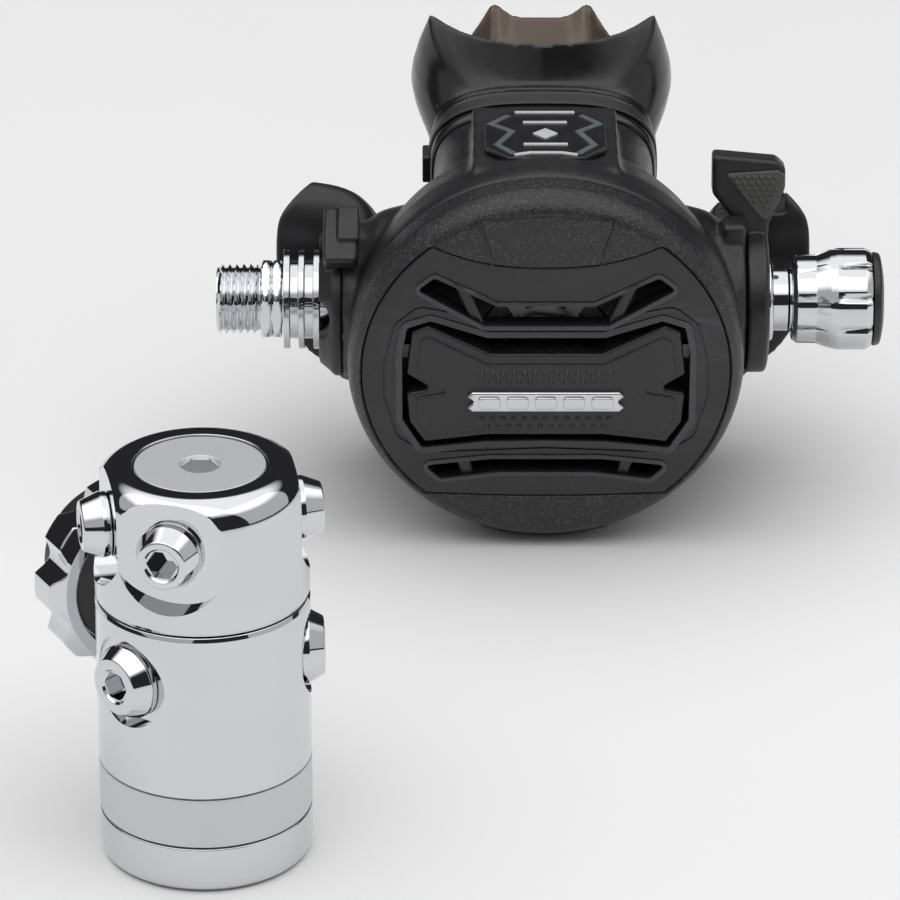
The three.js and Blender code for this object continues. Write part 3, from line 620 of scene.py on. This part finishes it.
def plug(ports, shank_end):
    head, seat = ports["head"], ports["seat"]
    form = spun(softened([
        (0, shank_end), (ports["bore"] - 0.3, shank_end), (ports["bore"] - 0.3, seat + 0.1),
        (head, seat + 0.1, 0.3), (head, seat + 1.5, 0.4), (head * 0.76, PLUG_FACE - 0.1, 0.5),
        (head * 0.62, PLUG_FACE, 0.1), (3.3, PLUG_FACE, 0.2), (2.9, PLUG_FACE - 0.5, 0.1),
        (0, PLUG_FACE - 0.5),
    ], closed=False))
    return carved(form, hex_prism(5, PLUG_FACE - 4, PLUG_FACE + 1))


def add_plugs():
    for ports, name, shank_end in ((HIGH_PORTS, "high_port_plug", 10), (LOW_PORTS, "low_port_plug", 10.6)):
        form = plug(ports, shank_end)
        for i, azimuth in enumerate(ports["azimuths"]):
            add_piece(f"{name}_{i + 1}", to_azimuth(form, azimuth, ports["height"]), FIRST)


WHEEL = {"near": 22.8, "far": 32.4, "radius": 19.0, "scallop": 2.1, "lobes": 10, "face": 16.4}


def wheel_radius(angle):
    wave = -math.cos(WHEEL["lobes"] * angle)
    return WHEEL["radius"] - WHEEL["scallop"] * max(0.0, wave + 0.15) ** 0.7


def wheel_profile(angle):
    rim = wheel_radius(angle)
    slope = (rim - WHEEL["face"]) / 1.4
    near, far = WHEEL["near"], WHEEL["far"]
    return softened([
        (7.9, 25.2), (14.2, 25.2, 0.2), (14.2, near, 0.3), (WHEEL["face"], near, 0.4),
        (rim, near + slope, 0.6), (rim, far - 1.2, 0.6), (rim - 1.4, far, 0.5), (11.45, far, 0.2),
        (11.45, 37.4, 0.3), (10.8, 38.0, 0.2), (7.9, 38.0),
    ])


def add_cylinder_fitting():
    def on_axis(form):
        return to_azimuth(form, FITTING["azimuth"], FITTING["height"])

    add_piece("handwheel", on_axis(spun(wheel_profile, 200)), FIRST, crease=35)
    add_piece("handwheel_disc", on_axis(sleeve(8.0, 13.9, 23.6, 24.9, 0.25)), FIRST)
    cap = [(0, 38.7), (11.75, 38.7), (11.75, 32.7, 0.3), (13.4, 32.7, 0.3), (13.4, 40.0, 1.4), (0, 40.0)]
    add_piece("dust_cap", on_axis(spun(softened(cap, closed=False))), FIRST)


# ---------- second stage: case ----------

BOSS_R = 15.8
CASE_RIM = 20.0
NECK_Z = 14.8
PLINTH_TOP = ((-12.5, 36.6), (20, 33.4))
BADGE_Y = 1.5


def across(outline, half, soft=0.6):
    """A block across the unit from its outline seen from the side, (y, z)."""
    return plate([softened(outline, soft)], -half, half, 0.5).moved(SIDEWAYS)


def case_outside():
    bowl = spun(softened([
        (0, -20), (14, -19.4), (24, -16), (31, -9), (35.5, 0), (38, 10), (38.9, 17, 1),
        (38.9, CASE_RIM, 0.4), (0, CASE_RIM),
    ], 3, closed=False)).moved(TO_FRONT)
    barrel = loft("x", eased([
        (-40.5, 0, 0, BOSS_R, BOSS_R, 2), (-36, 0, 0, BOSS_R, BOSS_R, 2),
        (-29, 1, 0, BOSS_R + 1, BOSS_R + 3, 2), (0, 0, 0, 18, 24, 2),
        (29, 1, 0, BOSS_R + 1, BOSS_R + 3, 2), (36, 0, 0, BOSS_R, BOSS_R, 2),
        (40.2, 0, 0, BOSS_R, BOSS_R, 2),
    ]), 64)
    neck = loft("y", eased([
        (-6, 0, 13, 22.6, 21, 3), (6, 0, 13.5, 22.4, 19.5, 3), (16, 0, 14.5, 22.3, 16.5, 3),
        (24, 0, NECK_Z, 22.3, 14.4, 3),
    ]), 64)
    plinth = across([*PLINTH_TOP, (20, 24), (-12.5, 24)], 14.6)
    stop = across([(-4.5, 18.9), (1.5, 18.9), (1.5, 12), (-4.5, 12)], 2.5).shifted(x=37.8)
    return bowl + barrel + neck + plinth + stop


def add_case():
    skin = fused(case_outside(), 0.75, 5)
    hollow = spun([
        (0, -17.6), (13, -17), (22.3, -14), (28.8, -7.5), (33.2, 0.8), (33.8, 8), (33.8, 18.2),
        (36.3, 18.2), (36.3, CASE_RIM + 2), (0, CASE_RIM + 2),
    ]).moved(TO_FRONT)
    passage = loft("y", [(-4, 0, 12, 17, 9.6, 3), (40, 0, NECK_Z, 17.4, 9.3, 3)], 48)
    stub = loft("y", [(22, 0, NECK_Z, 19.5, 11.4, 3), (36, 0, NECK_Z, 19.5, 11.4, 3)], 48)
    bores = [rod(8.9, 20, 44).moved(TO_RIGHT), rod(7.3, -44, -20).moved(TO_RIGHT)]
    body = carved(combined(skin, [stub], "UNION"), hollow, passage, *bores)
    add_piece("case_body", body, SECOND, crease=50)


# ---------- second stage: cover ----------

COVER_R = 39.3
COVER_BACK = 20.3
COVER_FRONT = 30.0
PLATE_BACK = 26.0
INSERT_R = 36.4
TAB = {"radius": 41.0, "front": 25.8, "half": 12.8}


def insert_outline(grow=0.0):
    """The edge between the cover's two mouldings, anticlockwise from the right."""
    top = math.atan2(28.9, 22.6)
    foot = math.atan2(-27.5, 23.8)
    outline = []
    steps = 40
    for k in range(steps + 1):
        angle = foot + (top - foot) * k / steps
        outline.append(((INSERT_R + grow) * math.cos(angle), (INSERT_R + grow) * math.sin(angle)))
    for k in range(1, steps):
        x = 22.6 * (1 - 2 * k / steps)
        outline.append((x, 23.9 + 5.0 * abs(x / 22.6) ** 2.4 + grow))
    right = outline[:steps + 1]
    outline += [(-x, z) for x, z in right[::-1]]
    for k in range(1, steps):
        x = -23.8 + 47.6 * k / steps
        outline.append((x, -28.2 + 0.7 * abs(x / 23.8) ** 2 - grow))
    return softened(outline, 1.5)


def radius_of(outline, angle):
    """How far out a closed outline round the origin is at an angle."""
    direction = Vector((math.cos(angle), math.sin(angle)))
    for (x0, y0), (x1, y1) in zip(outline, outline[1:] + outline[:1]):
        a = direction.x * y0 - direction.y * x0
        b = direction.x * y1 - direction.y * x1
        if a <= 0 < b:
            t = a / (a - b)
            return Vector((x0 + (x1 - x0) * t, y0 + (y1 - y0) * t)).dot(direction)
    raise ValueError("the outline doesn't go round the origin")


def tab_radius(angle):
    """The cover's radius behind its rounded edge, with the tab at the foot."""
    x = abs(COVER_R * math.cos(angle))
    if math.sin(angle) > 0:
        return COVER_R
    inside = min(max((TAB["half"] - x) / 1.0 + 0.5, 0.0), 1.0)
    return COVER_R + (TAB["radius"] - COVER_R) * inside * inside * (3 - 2 * inside)


def add_cover_ring():
    edge = insert_outline(0.12)

    def profile(angle):
        inner = radius_of(edge, angle)
        outer = tab_radius(angle)
        extra = outer - COVER_R
        shoulder = [
            (35.2 + 4.1 * math.sin(t * 90 * DEG), COVER_FRONT - 5.5 * (1 - math.cos(t * 90 * DEG)))
            for t in (k / 10 for k in range(1, 11))
        ]
        start = max(inner + 0.35, 35.2)
        shoulder = [(max(r, inner + 0.4), f) for r, f in shoulder]
        step = 0.2 if extra > 0.01 else 0.02
        return [
            (inner, PLATE_BACK - 0.3), (inner, COVER_FRONT - 0.6),
            (min(inner + 0.15, start), COVER_FRONT - 0.35 if inner > 35 else COVER_FRONT - 0.12),
            (min(inner + 0.5, start), COVER_FRONT if inner < 34.5 else COVER_FRONT - 0.3),
            *shoulder,
            (COVER_R + step * 0.5, TAB["front"] - 0.9), (COVER_R + extra * 0.7, TAB["front"] - 1.0),
            (outer, TAB["front"] - 1.6), (outer, COVER_BACK + 0.4), (outer - 0.4, COVER_BACK),
            (36.9, COVER_BACK), (36.9, PLATE_BACK - 0.3),
        ]

    add_piece("cover_ring", spun(profile, 360).moved(TO_FRONT), SECOND, crease=60)


UPPER_VENT = [(0, 15.5), (9.6, 15.5), (22, 21.9), (25.4, 19.1), (12.3, 11), (0, 11)]
LOWER_VENT = [(0, -19.5), (11, -19.5), (24.3, -21), (20.9, -24.2), (9.3, -22.6), (0, -22.6)]
PURGE_OPENING = [(0, 8.4), (11.6, 8.4), (22.8, 12.2), (27.4, 10.6), (28.4, 5), (28.4, -10.4),
                 (24.6, -16.9), (12, -15.4), (0, -15.2)]
PURGE_OUTLINE = [(0, 4.6), (11, 4.6), (23.3, 11), (26.4, 9.6), (27.5, 0), (22.3, -3.4), (27.5, -4.4),
                 (27, -11), (24, -15.6), (11.5, -14), (0, -14)]
PURGE_PANEL = [(0, 2.4), (11.4, 2.4), (22.9, 8.6), (24.7, 7.9), (25.6, -0.2), (18.8, -3.9),
               (25.6, -5.2), (25.2, -10.4), (23, -13.9), (12, -12.6), (0, -12.6)]


def strut(top, foot, width, low, high):
    half = width / 2
    outline = [(top[0] - half, top[1]), (top[0] + half, top[1]), (foot[0] + half, foot[1]),
               (foot[0] - half, foot[1])]
    return plate([softened(outline, 0.3)], low, high, 0.5)


def add_cover_insert():
    holes = [mirrored(half) for half in (UPPER_VENT, PURGE_OPENING, LOWER_VENT)]
    holes = [softened(outline, 0.9) for outline in holes]
    deck = plate([insert_outline(), *holes], PLATE_BACK, COVER_FRONT - 0.2, 0.3, 3)
    line = mirrored([(0, 13.2), (14, 13.2), (25.5, 15.6), (30.2, 11.5), (32.2, 3), (32.2, -5),
                     (29.6, -14.4), (24, -18.2), (0, -17.2)])
    rim_outer = softened(line, 3.5)
    rim_inner = softened([(x * 0.985, z * 0.975) for x, z in line], 3.5)
    groove = plate([rim_outer, rim_inner], COVER_FRONT - 0.5, COVER_FRONT + 1, 0.02, 0)
    lips = [plate([grown(outline, width), outline], COVER_FRONT - 1.4, COVER_FRONT + 0.1, 0, 0)
            for outline, width in zip(holes, (0.9, 1.3, 0.9))]
    struts = [strut((side * 17.6, 21.5), (side * 13.0, 9.8), 2.6, 26.2, 29.0) for side in (-1, 1)]
    struts += [strut((side * 16.8, -18.8), (side * 15.2, -24.6), 2.6, 26.2, 29.0) for side in (-1, 1)]
    form = joined([carved(deck, groove), *lips, *struts])
    add_piece("cover_insert", form.moved(TO_FRONT), SECOND)


def add_top_panel():
    """The grained trapezoid at the top of the cover, with its two raised edges."""
    lines = [[(side * 10.6, 24.6), (side * 11.8, 29.5), (side * 13.6, 35.4)] for side in (-1, 1)]
    ridges = joined(plate([stroke(line, 0.4)], COVER_FRONT - 0.6, COVER_FRONT + 0.22, 0.12, 1)
                    for line in lines)
    panel = plate([softened(mirrored([(0, 35.6), (13.0, 34.4), (11.4, 29.5), (10.2, 24.9), (0, 24.4)]),
                            0.4)], COVER_FRONT - 0.8, COVER_FRONT + 0.1, 0.1, 1)
    add_piece("cover_panel", (panel + ridges).moved(TO_FRONT), SECOND, stands_for="cover_ring")


def add_purge_button():
    body = plate([softened(mirrored(PURGE_OUTLINE), 0.9)], 25.4, 30.1, 0.6, 3)
    panel = plate([softened(mirrored(PURGE_PANEL), 0.8)], 29.0, 30.55, 0.35, 2)
    xs = [-12.6 + 2.1 * k for k in range(13)]
    between = [x + 1.05 for x in xs[:-1]]
    rows = ((xs, 0.5), (between, -1.3), (xs, -9.8), (between, -11.6))
    dots = joined(cone_row(places, z, 0.8, 0.6, 30.5) for places, z in rows)
    add_piece("purge_button", (body + panel + dots).moved(TO_FRONT), SECOND)
    bar = mirrored([(0, -3.4), (14.6, -3.4), (15.6, -4.4), (14.2, -5.6), (15.6, -6.9), (14.6, -7.9),
                    (0, -7.9)])
    base = plate([softened(bar, 0.4)], 30.3, 31.5, 0.5, 3)
    fields = [[(x, -4.3), (x + 4.4, -4.3), (x + 4.4, -7.0), (x, -7.0)]
              for x in (-13.4, -7.8, -2.2, 3.4, 9.0)]
    raised = joined(plate([softened(field, 0.9)], 31.2, 32.0, 0.3, 2) for field in fields)
    add_piece("purge_badge", (base + raised).moved(TO_FRONT), SECOND)


# ---------- second stage: hose inlet ----------

PITCH = 1.41


def thread_profile(angle):
    start, end = -65.9, -57.3
    rows = 64
    points = []
    for k in range(rows + 1):
        at = start + (end - start) * k / rows
        phase = (at / PITCH + angle / (2 * math.pi)) % 1
        crest = 7.12 - 0.78 * min(1.0, abs(phase - 0.5) * 2.4)
        points.append((min(crest, 6.3 + (at - start) * 1.2, 6.3 + (end - at) * 1.6), at))
    return points


NUT = {"flat": 7.75, "crown": 8.6, "drop": 1.0, "rows": 8}


def nut_points(angle, start, end):
    """Profile points over one collar: a rounded band with six flats, which meet it in ovals."""
    facet = angle % (60 * DEG) - 30 * DEG
    points = []
    for k in range(NUT["rows"] + 1):
        t = k / NUT["rows"]
        band = NUT["crown"] - NUT["drop"] * (2 * t - 1) ** 2
        points.append((min(NUT["flat"] / math.cos(facet), band), start + (end - start) * t))
    return points


def fitting_profile(angle):
    return [
        (3.2, -65.9), (6.0, -65.9), *thread_profile(angle), (6.3, -57.2), (7.0, -57.0),
        *nut_points(angle, -57.0, -54.9), *nut_points(angle, -54.8, -52.7), (4.8, -52.6),
        (4.8, -38), (3.4, -32), (1.9, -32), (1.9, -52), (3.2, -54),
    ]


def add_inlet():
    add_piece("inlet_fitting", spun(fitting_profile, 144).moved(TO_RIGHT), SECOND, crease=28)
    fins = []
    for start, end in ((-52.4, -51.1), (-49.4, -48.2), (-46.4, -45.1)):
        fins += [(8.0, start), (10.1, start), (10.1, end), (8.0, end)]
    profile = softened([(5.1, -52.4), *fins, (8.0, -41.8), (5.1, -41.8)], 0.16)
    add_piece("heat_exchanger", spun(profile).moved(TO_RIGHT), SECOND)


def sector(inner, outer, start, end, steps=8):
    """Outline in (y, z) of part of a ring round the valve axis, in degrees above the front."""
    angles = [(start + (end - start) * k / steps) * DEG for k in range(steps + 1)]
    rim = [(-outer * math.cos(a), outer * math.sin(a)) for a in angles]
    return rim + [(-inner * math.cos(a), inner * math.sin(a)) for a in angles[::-1]]


def add_inlet_shroud():
    def profile(angle):
        bite = max(0.0, math.cos(5 * (angle + 0.5)) - 0.1) ** 0.6
        start = -45.2 + 2.4 * bite
        return softened([(10.6, start), (13.2 + bite, start, 0.6), (15.5, -42.4, 1.2), (15.5, -40.55),
                         (10.6, -40.55)], 0.3)

    ring = spun(profile, 180).moved(TO_RIGHT)
    web = plate([softened(sector(13, 20, 52, 88), 0.5)], -44.0, -41.0, 0.5, 2).moved(SIDEWAYS)
    lug = plate([softened(sector(17.2, 21.4, 50, 90), 1.2)], -44.2, -37.3, 0.9, 3).moved(SIDEWAYS)
    step = plate([softened(sector(17.4, 22.1, 62, 88), 0.6)], -41.4, -37.0, 0.5, 2).moved(SIDEWAYS)
    add_piece("inlet_shroud", fused(ring + web + lug + step, 0.3, 2), SECOND, crease=60)


# ---------- second stage: venturi lever and breathing adjuster ----------

LEVER_TILT = Matrix.Rotation(-15 * DEG, 4, "X")


def add_venturi():
    ring = spun(softened([(8.7, 40.5), (14.8, 40.5, 0.4), (14.8, 44.6, 1.2), (12.6, 45.0, 0.6),
                          (8.7, 45.0)], 0.3)).moved(TO_RIGHT)
    head = plate([softened([(33.6, 30.4), (46.4, 29.2), (48.2, 27.6), (48.2, 23.6), (45, 16.4),
                            (44.9, 13.5), (40.6, 13.5), (37.4, 17.6), (33.6, 22.5)], 0.8)],
                 -3.6, 3.2, 0.7, 3).moved(TO_FRONT)
    add_piece("venturi_lever", fused(ring + head, 0.4, 3).moved(LEVER_TILT), SECOND, crease=60)
    outline = [(36.0, 26.8), (46.6, 27.5), (48.0, 26.6), (47.9, 23.4), (44.6, 17.4), (43.6, 17.4)]
    pad = plate([softened(outline, 0.7)], 2.8, 4.0, 0.3)
    rows = ((37.6, 26.2, 7), (38.4, 25.0, 6), (39.1, 23.8, 6), (39.9, 22.6, 5), (41.9, 21.4, 3),
            (44.1, 20.1, 1))
    dots = joined(cone_row([x + 1.42 * k for k in range(count)], z, 0.6, 0.55, 4.0)
                  for x, z, count in rows)
    add_piece("venturi_pad", (pad + dots).moved(TO_FRONT, LEVER_TILT), SECOND)


KNOB_FLUTES = 9


def knob_profile(angle):
    period = 2 * math.pi / KNOB_FLUTES
    away = abs((angle + period / 2) % period - period / 2)
    groove = max(0.0, 1 - away / (6 * DEG))
    rim = 10.25
    return softened([
        (6.6, 49.9), (8.2, 49.9, 0.3), (8.9, 50.8, 0.5), (8.95, 54.6, 1.4), (rim - 0.3, 57.4, 1.2),
        (rim, 58.8, 0.3), (rim - 0.5 * groove, 60.5, 0.3), (rim - 0.9 * groove, 64.6, 0.3),
        (9.6 - 0.5 * groove, 65.9, 0.4), (7.2, 65.9), (7.2, 57), (6.6, 57),
    ], 0.15)


def add_adjuster():
    collar = [(6.8, 40.8), (8.6, 40.8), (8.6, 45.4, 0.5), (8.1, 46.0, 0.3), (6.8, 46.0)]
    add_piece("adjuster_collar", spun(softened(collar, 0.2)).moved(TO_RIGHT), SECOND)
    shaft = [(0, 33.4), (4.7, 33.4), (4.7, 40.6), (6.4, 40.6), (6.4, 49.0), (5.9, 49.4), (5.9, 56), (0, 56)]
    add_piece("adjuster_shaft", spun(softened(shaft, 0.15, closed=False)).moved(TO_RIGHT), SECOND)
    add_piece("adjuster_knob", spun(knob_profile, 288).moved(TO_RIGHT), SECOND, crease=30)
    cap = [(0, 57.4), (6.8, 57.4), (6.8, 66.1), (9.5, 66.1, 0.3), (9.3, 67.6, 1.2), (6.4, 68.2, 1),
           (0, 68.2)]
    add_piece("knob_cap", spun(softened(cap, 0.2, closed=False)).moved(TO_RIGHT), SECOND)


# ---------- second stage: exhaust ----------

TEE_ENDS = [(0, 20), (43, 16), (47, 13.4), (50, 10.4), (53, 6.4), (54.2, 3), (54.5, -4), (53.5, -12),
            (50, -20), (42.5, -28), (38, -42), (0, -60)]


def tee_stations(wall, reach):
    right = [
        (0, 17, -30, 17, 15.8), (14, 18.5, -29, 15.6, 15.4), (28, 22, -21, 11.6, 16.6),
        (35, 23.5, -13.5, 11, 21), (42, 25.4, -10.4, 10.4, 22.6), (reach, 25.6, -9.6, 11.4, 23.6),
    ]
    left = [(-at, *rest) for at, *rest in right[:0:-1]]
    return eased([(at, u, v, a - wall, b - wall, 2) for at, u, v, a, b in left + right], 6)


def add_exhaust_tee():
    outer = loft("x", tee_stations(0, 54.5), 72)
    inner = loft("x", tee_stations(2, 55.5), 72)
    ends = plate([rounded(mirrored(TEE_ENDS))], -60, 10, 0.01, 0).moved(TO_FRONT)
    bowl = spun([(0, -20.3), (24.3, -16.3), (31.3, -9.3), (35.8, 0), (38.3, 10), (39.2, 17), (39.2, 20.3),
                 (0, 20.3)]).moved(TO_FRONT)
    neck = loft("y", [(-6, 0, 13, 23, 21.3, 3), (24.3, 0, NECK_Z, 22.7, 14.8, 3)], 48)
    barrel = rod(BOSS_R + 1.4, -41, 41).moved(TO_RIGHT)
    lever_swing = plate([sector(11.5, 31.3, 95, 162)], 32.8, 49.3, 0.01, 0).moved(SIDEWAYS)
    tee = combined(outer, [ends], "INTERSECT")
    tee = carved(tee, inner, bowl, neck, barrel, lever_swing)
    tee = fused(tee, 0.5, 3)
    for point in tee.points:
        outward = min(max((abs(point.x) - 22) / 22, 0), 1)
        upward = min(max((point.z + 22) / 26, 0), 1)
        point.z -= 0.55 * outward * upward * (point.y - 25)
    add_piece("exhaust_tee", tee, SECOND, crease=60)


# ---------- second stage: mouthpiece ----------

LIP = {"curve": 34.0, "curve_y": 75.0}
LIP_EDGE = [(0, 22.0), (12, 22.1), (19, 22.7), (23.1, 24.2), (25.3, 17.4), (26.6, 12), (27.1, 7.6),
            (26.2, 3.6), (24.2, 0.6), (22.2, -3.5), (21.4, -9), (19, -14.6), (12.5, -19), (0, -20.6)]


def lip_ring(reach, inset=0.0):
    """A ring of the mouthpiece's flange: reach goes from 0 at the sleeve to 1 at the lip's edge."""
    ring = []
    foot = superellipse(22.5, 14.4, 3)
    edge = mirrored(LIP_EDGE)[::-1]
    for u0, v0 in foot:
        angle = math.atan2(v0, u0)
        out = radius_of(edge, angle)
        u1, v1 = out * math.cos(angle), out * math.sin(angle)
        edge_y = LIP["curve_y"] - math.sqrt(LIP["curve"] ** 2 - u1 ** 2)
        flare = math.sin(reach * math.pi / 2) ** 0.9
        u = u0 + (u1 - u0) * flare
        v = v0 + (v1 - v0) * reach ** 1.25
        outward = Vector((u, v)).normalized()
        ring.append((u - inset * outward.x, 36.6 + (edge_y - 36.6) * reach ** 1.1,
                     NECK_Z + v - inset * outward.y))
    return ring


def sleeve_ring(at, a, b):
    return [(u, at, NECK_Z + v) for u, v in superellipse(a, b, 3)]


def bite_wall():
    """The curved wall that joins the two bite tabs over the tongue, with its pair of humps."""
    rows = []
    steps = 20
    for k in range(steps + 1):
        t = k / steps
        y = 43 + 25.6 * t
        top, under = [], []
        for i in range(41):
            x = -19 + 38 * i / 40
            hump = 3.0 * math.exp(-((abs(x) - 9.6) / 2.6) ** 2)
            fall = max(0.0, abs(x) - 10.4) / 8.6
            crest = 28.8 + hump - 11.0 * fall ** 1.3
            root = 21.5 - 3.0 * fall
            z = root + (crest - root) * t ** 1.3
            top.append((x, y, z))
            under.append((x * 0.93, y, z - 1.7))
        rows.append(top + under[::-1])
    return skinned(rows)


def add_mouthpiece():
    ribs = ((24.3, 0), (24.8, 0.35), (25.6, 0.6), (26.6, 0.6), (27.2, 0.2), (27.5, 0), (31.6, 0),
            (32.0, 0.5), (32.8, 0.8), (33.6, 0.5), (34.0, 0.1), (34.6, 0.5), (35.4, 0.6), (36.0, 0.1))
    outer = [sleeve_ring(at, 22.5 + rise, 14.4 + rise) for at, rise in ribs]
    outer += [lip_ring(k / 14) for k in range(15)]
    inner = [lip_ring(1.03, 1.3), lip_ring(1.0, 2.7)]
    inner += [lip_ring(k / 14, 2.7 + 1.2 * math.sin(k / 14 * math.pi) ** 0.7) for k in range(13, 1, -1)]
    bore = [sleeve_ring(at, a, b) for at, a, b in (
        (37.6, 17.5, 9.5), (36.8, 16.2, 8), (36.4, 16, 7.8), (36.3, 19.8, 11.7), (24.3, 19.8, 11.7))]
    shell = skinned(outer + inner + bore, wrap=True)
    tab = ((40.5, 16.4, 1.9, 5.6), (50, 16.2, 1.8, 6), (62, 15.8, 2.2, 7), (67.6, 15.4, 2.8, 7.6))
    tabs = joined(loft("y", eased([(y, side * x, NECK_Z - 1, a, b, 2.6) for y, x, a, b in tab]), 32)
                  for side in (-1, 1))
    add_piece("mouthpiece", fused(shell + tabs, 0.4, 6), SECOND, crease=80)
    add_piece("bite_wall", fused(bite_wall(), 0.4, 4), SECOND, stands_for="mouthpiece", material=SMOKY,
              crease=80)


def add_clamp():
    band = [sleeve_ring(at, a, b) for at, a, b in (
        (28.0, 22.7, 14.6), (27.8, 23.1, 15.0), (28.1, 23.4, 15.3), (31.2, 23.4, 15.3),
        (31.5, 23.1, 15.0), (31.3, 22.7, 14.6))]
    outline = [(26.9, NECK_Z - 3), (32.5, NECK_Z - 3), (32.5, NECK_Z + 3), (26.9, NECK_Z + 3)]
    head = plate([softened(outline, 0.5)], -24.6, -22.7, 0.4).moved(SIDEWAYS)
    add_piece("mouthpiece_clamp", skinned(band, wrap=True) + head, SECOND)


def add_neck_badge():
    (front_y, front_z), (back_y, back_z) = PLINTH_TOP
    rise = (back_z - front_z) / (back_y - front_y)
    lie = (Matrix.Translation((0, BADGE_Y, front_z + rise * (BADGE_Y - front_y)))
           @ Matrix.Rotation(math.atan(rise), 4, "X"))
    half = [(0, 11.8), (7.4, 11.8), (12, 6.4), (12, -6.4), (7.4, -11.8), (0, -11.8)]
    base = plate([softened(mirrored(half), 0.6)], 0.3, 1.5, 0.3)
    add_piece("neck_badge", base.moved(lie), SECOND)
    chevrons = [[(side * x, z) for x, z in ((7.2, 9.6), (10.8, 5.2), (6.6, 1.2), (9.6, -5.6), (6.4, -10))]
                for side in (-1, 1)]
    frame_lines = joined(plate([stroke(line, 1.3)], 1.3, 1.75, 0.15, 1) for line in chevrons)
    add_piece("badge_chevrons", frame_lines.moved(lie), SECOND, stands_for="neck_badge", material=SLATE)
    bars = [[(-6.0, 11.0), (6.0, 11.0)], [(-6.2, -10.8), (-3, -9.7), (3, -9.7), (6.2, -10.8)],
            [(-4.4, 5.8), (4.4, 5.8)], [(-4.4, -5.4), (4.4, -5.4)]]
    pale = joined(plate([stroke(line, 1.0)], 1.3, 1.85, 0.15, 1) for line in bars)
    pale = pale + plate([softened(mirrored([(0, 2.6), (2.6, 0), (0, -2.6)]), 0.3)], 1.3, 1.85, 0.15, 1)
    add_piece("badge_bars", pale.moved(lie), SECOND, stands_for="neck_badge", material=PALE)


# ---------- stage, lights and camera ----------

def add_floor():
    corners = [(-3, -3, 0), (3, -3, 0), (3, 3, 0), (-3, 3, 0)]
    floor = new_object("floor", Form(corners, [(0, 1, 2, 3)]))
    floor.location.z = CAD_BOUNDS[0].z - 0.0001
    floor.data.materials.append(surface("pale_floor", ((0.93, 0.93, 0.93), (0.90, 0.90, 0.90)), (0.6, 0.7),
                                        patch=1.5))


def add_light(name, location, target, size, power):
    data = bpy.data.lights.new(name, "AREA")
    data.shape = "RECTANGLE"
    data.size, data.size_y = size
    data.energy = power
    lamp = bpy.data.objects.new(name, data)
    lamp.location = location
    direction = Vector(target) - Vector(location)
    lamp.rotation_euler = direction.to_track_quat("-Z", "Y").to_euler()
    bpy.context.scene.collection.objects.link(lamp)


def set_world():
    """A pale studio dome over a dark band near the horizon."""
    scene = bpy.context.scene
    scene.world = bpy.data.worlds.new("studio")
    scene.world.use_nodes = True
    nodes, links = scene.world.node_tree.nodes, scene.world.node_tree.links
    place = nodes.new("ShaderNodeTexCoord")
    split = nodes.new("ShaderNodeSeparateXYZ")
    links.new(place.outputs["Generated"], split.inputs["Vector"])
    dome = ranged(nodes, links, split.outputs["Z"], 0, 1, 0.58, 0.74)
    links.new(tinted(nodes, links, dome, (0.02, 0.02, 0.024), (1.0, 1.0, 1.0)),
              nodes["Background"].inputs["Color"])
    nodes["Background"].inputs["Strength"].default_value = 1.25
    scene.view_settings.view_transform = "Standard"


def add_camera():
    target = Vector((-5.276, 72.97, 0)) * MM
    elevation = 24.916 * DEG
    distance = 1.2119
    camera = bpy.data.objects.new("camera", bpy.data.cameras.new("camera"))
    camera.data.sensor_width = 36
    camera.data.lens = 232.7
    camera.data.clip_start = 0.05
    camera.location = target + Vector((0, -math.cos(elevation), math.sin(elevation))) * distance
    camera.rotation_euler = (target - camera.location).to_track_quat("-Z", "Y").to_euler()
    bpy.context.scene.collection.objects.link(camera)
    bpy.context.scene.camera = camera


add_camera()
set_world()
add_floor()
add_light("key", (-0.5, -0.4, 0.8), (0, 0, 0.03), (1.8, 1.5), 4.2)
add_light("fill", (0.8, -0.2, 0.6), (0, 0, 0.03), (1.2, 1.2), 2.5)

add_end_cap()
add_first_stage_body()
add_turret()
add_plugs()
add_cylinder_fitting()
add_case()
add_cover_ring()
add_cover_insert()
add_top_panel()
add_purge_button()
add_inlet()
add_inlet_shroud()
add_venturi()
add_adjuster()
add_exhaust_tee()
add_mouthpiece()
add_clamp()
add_neck_badge()
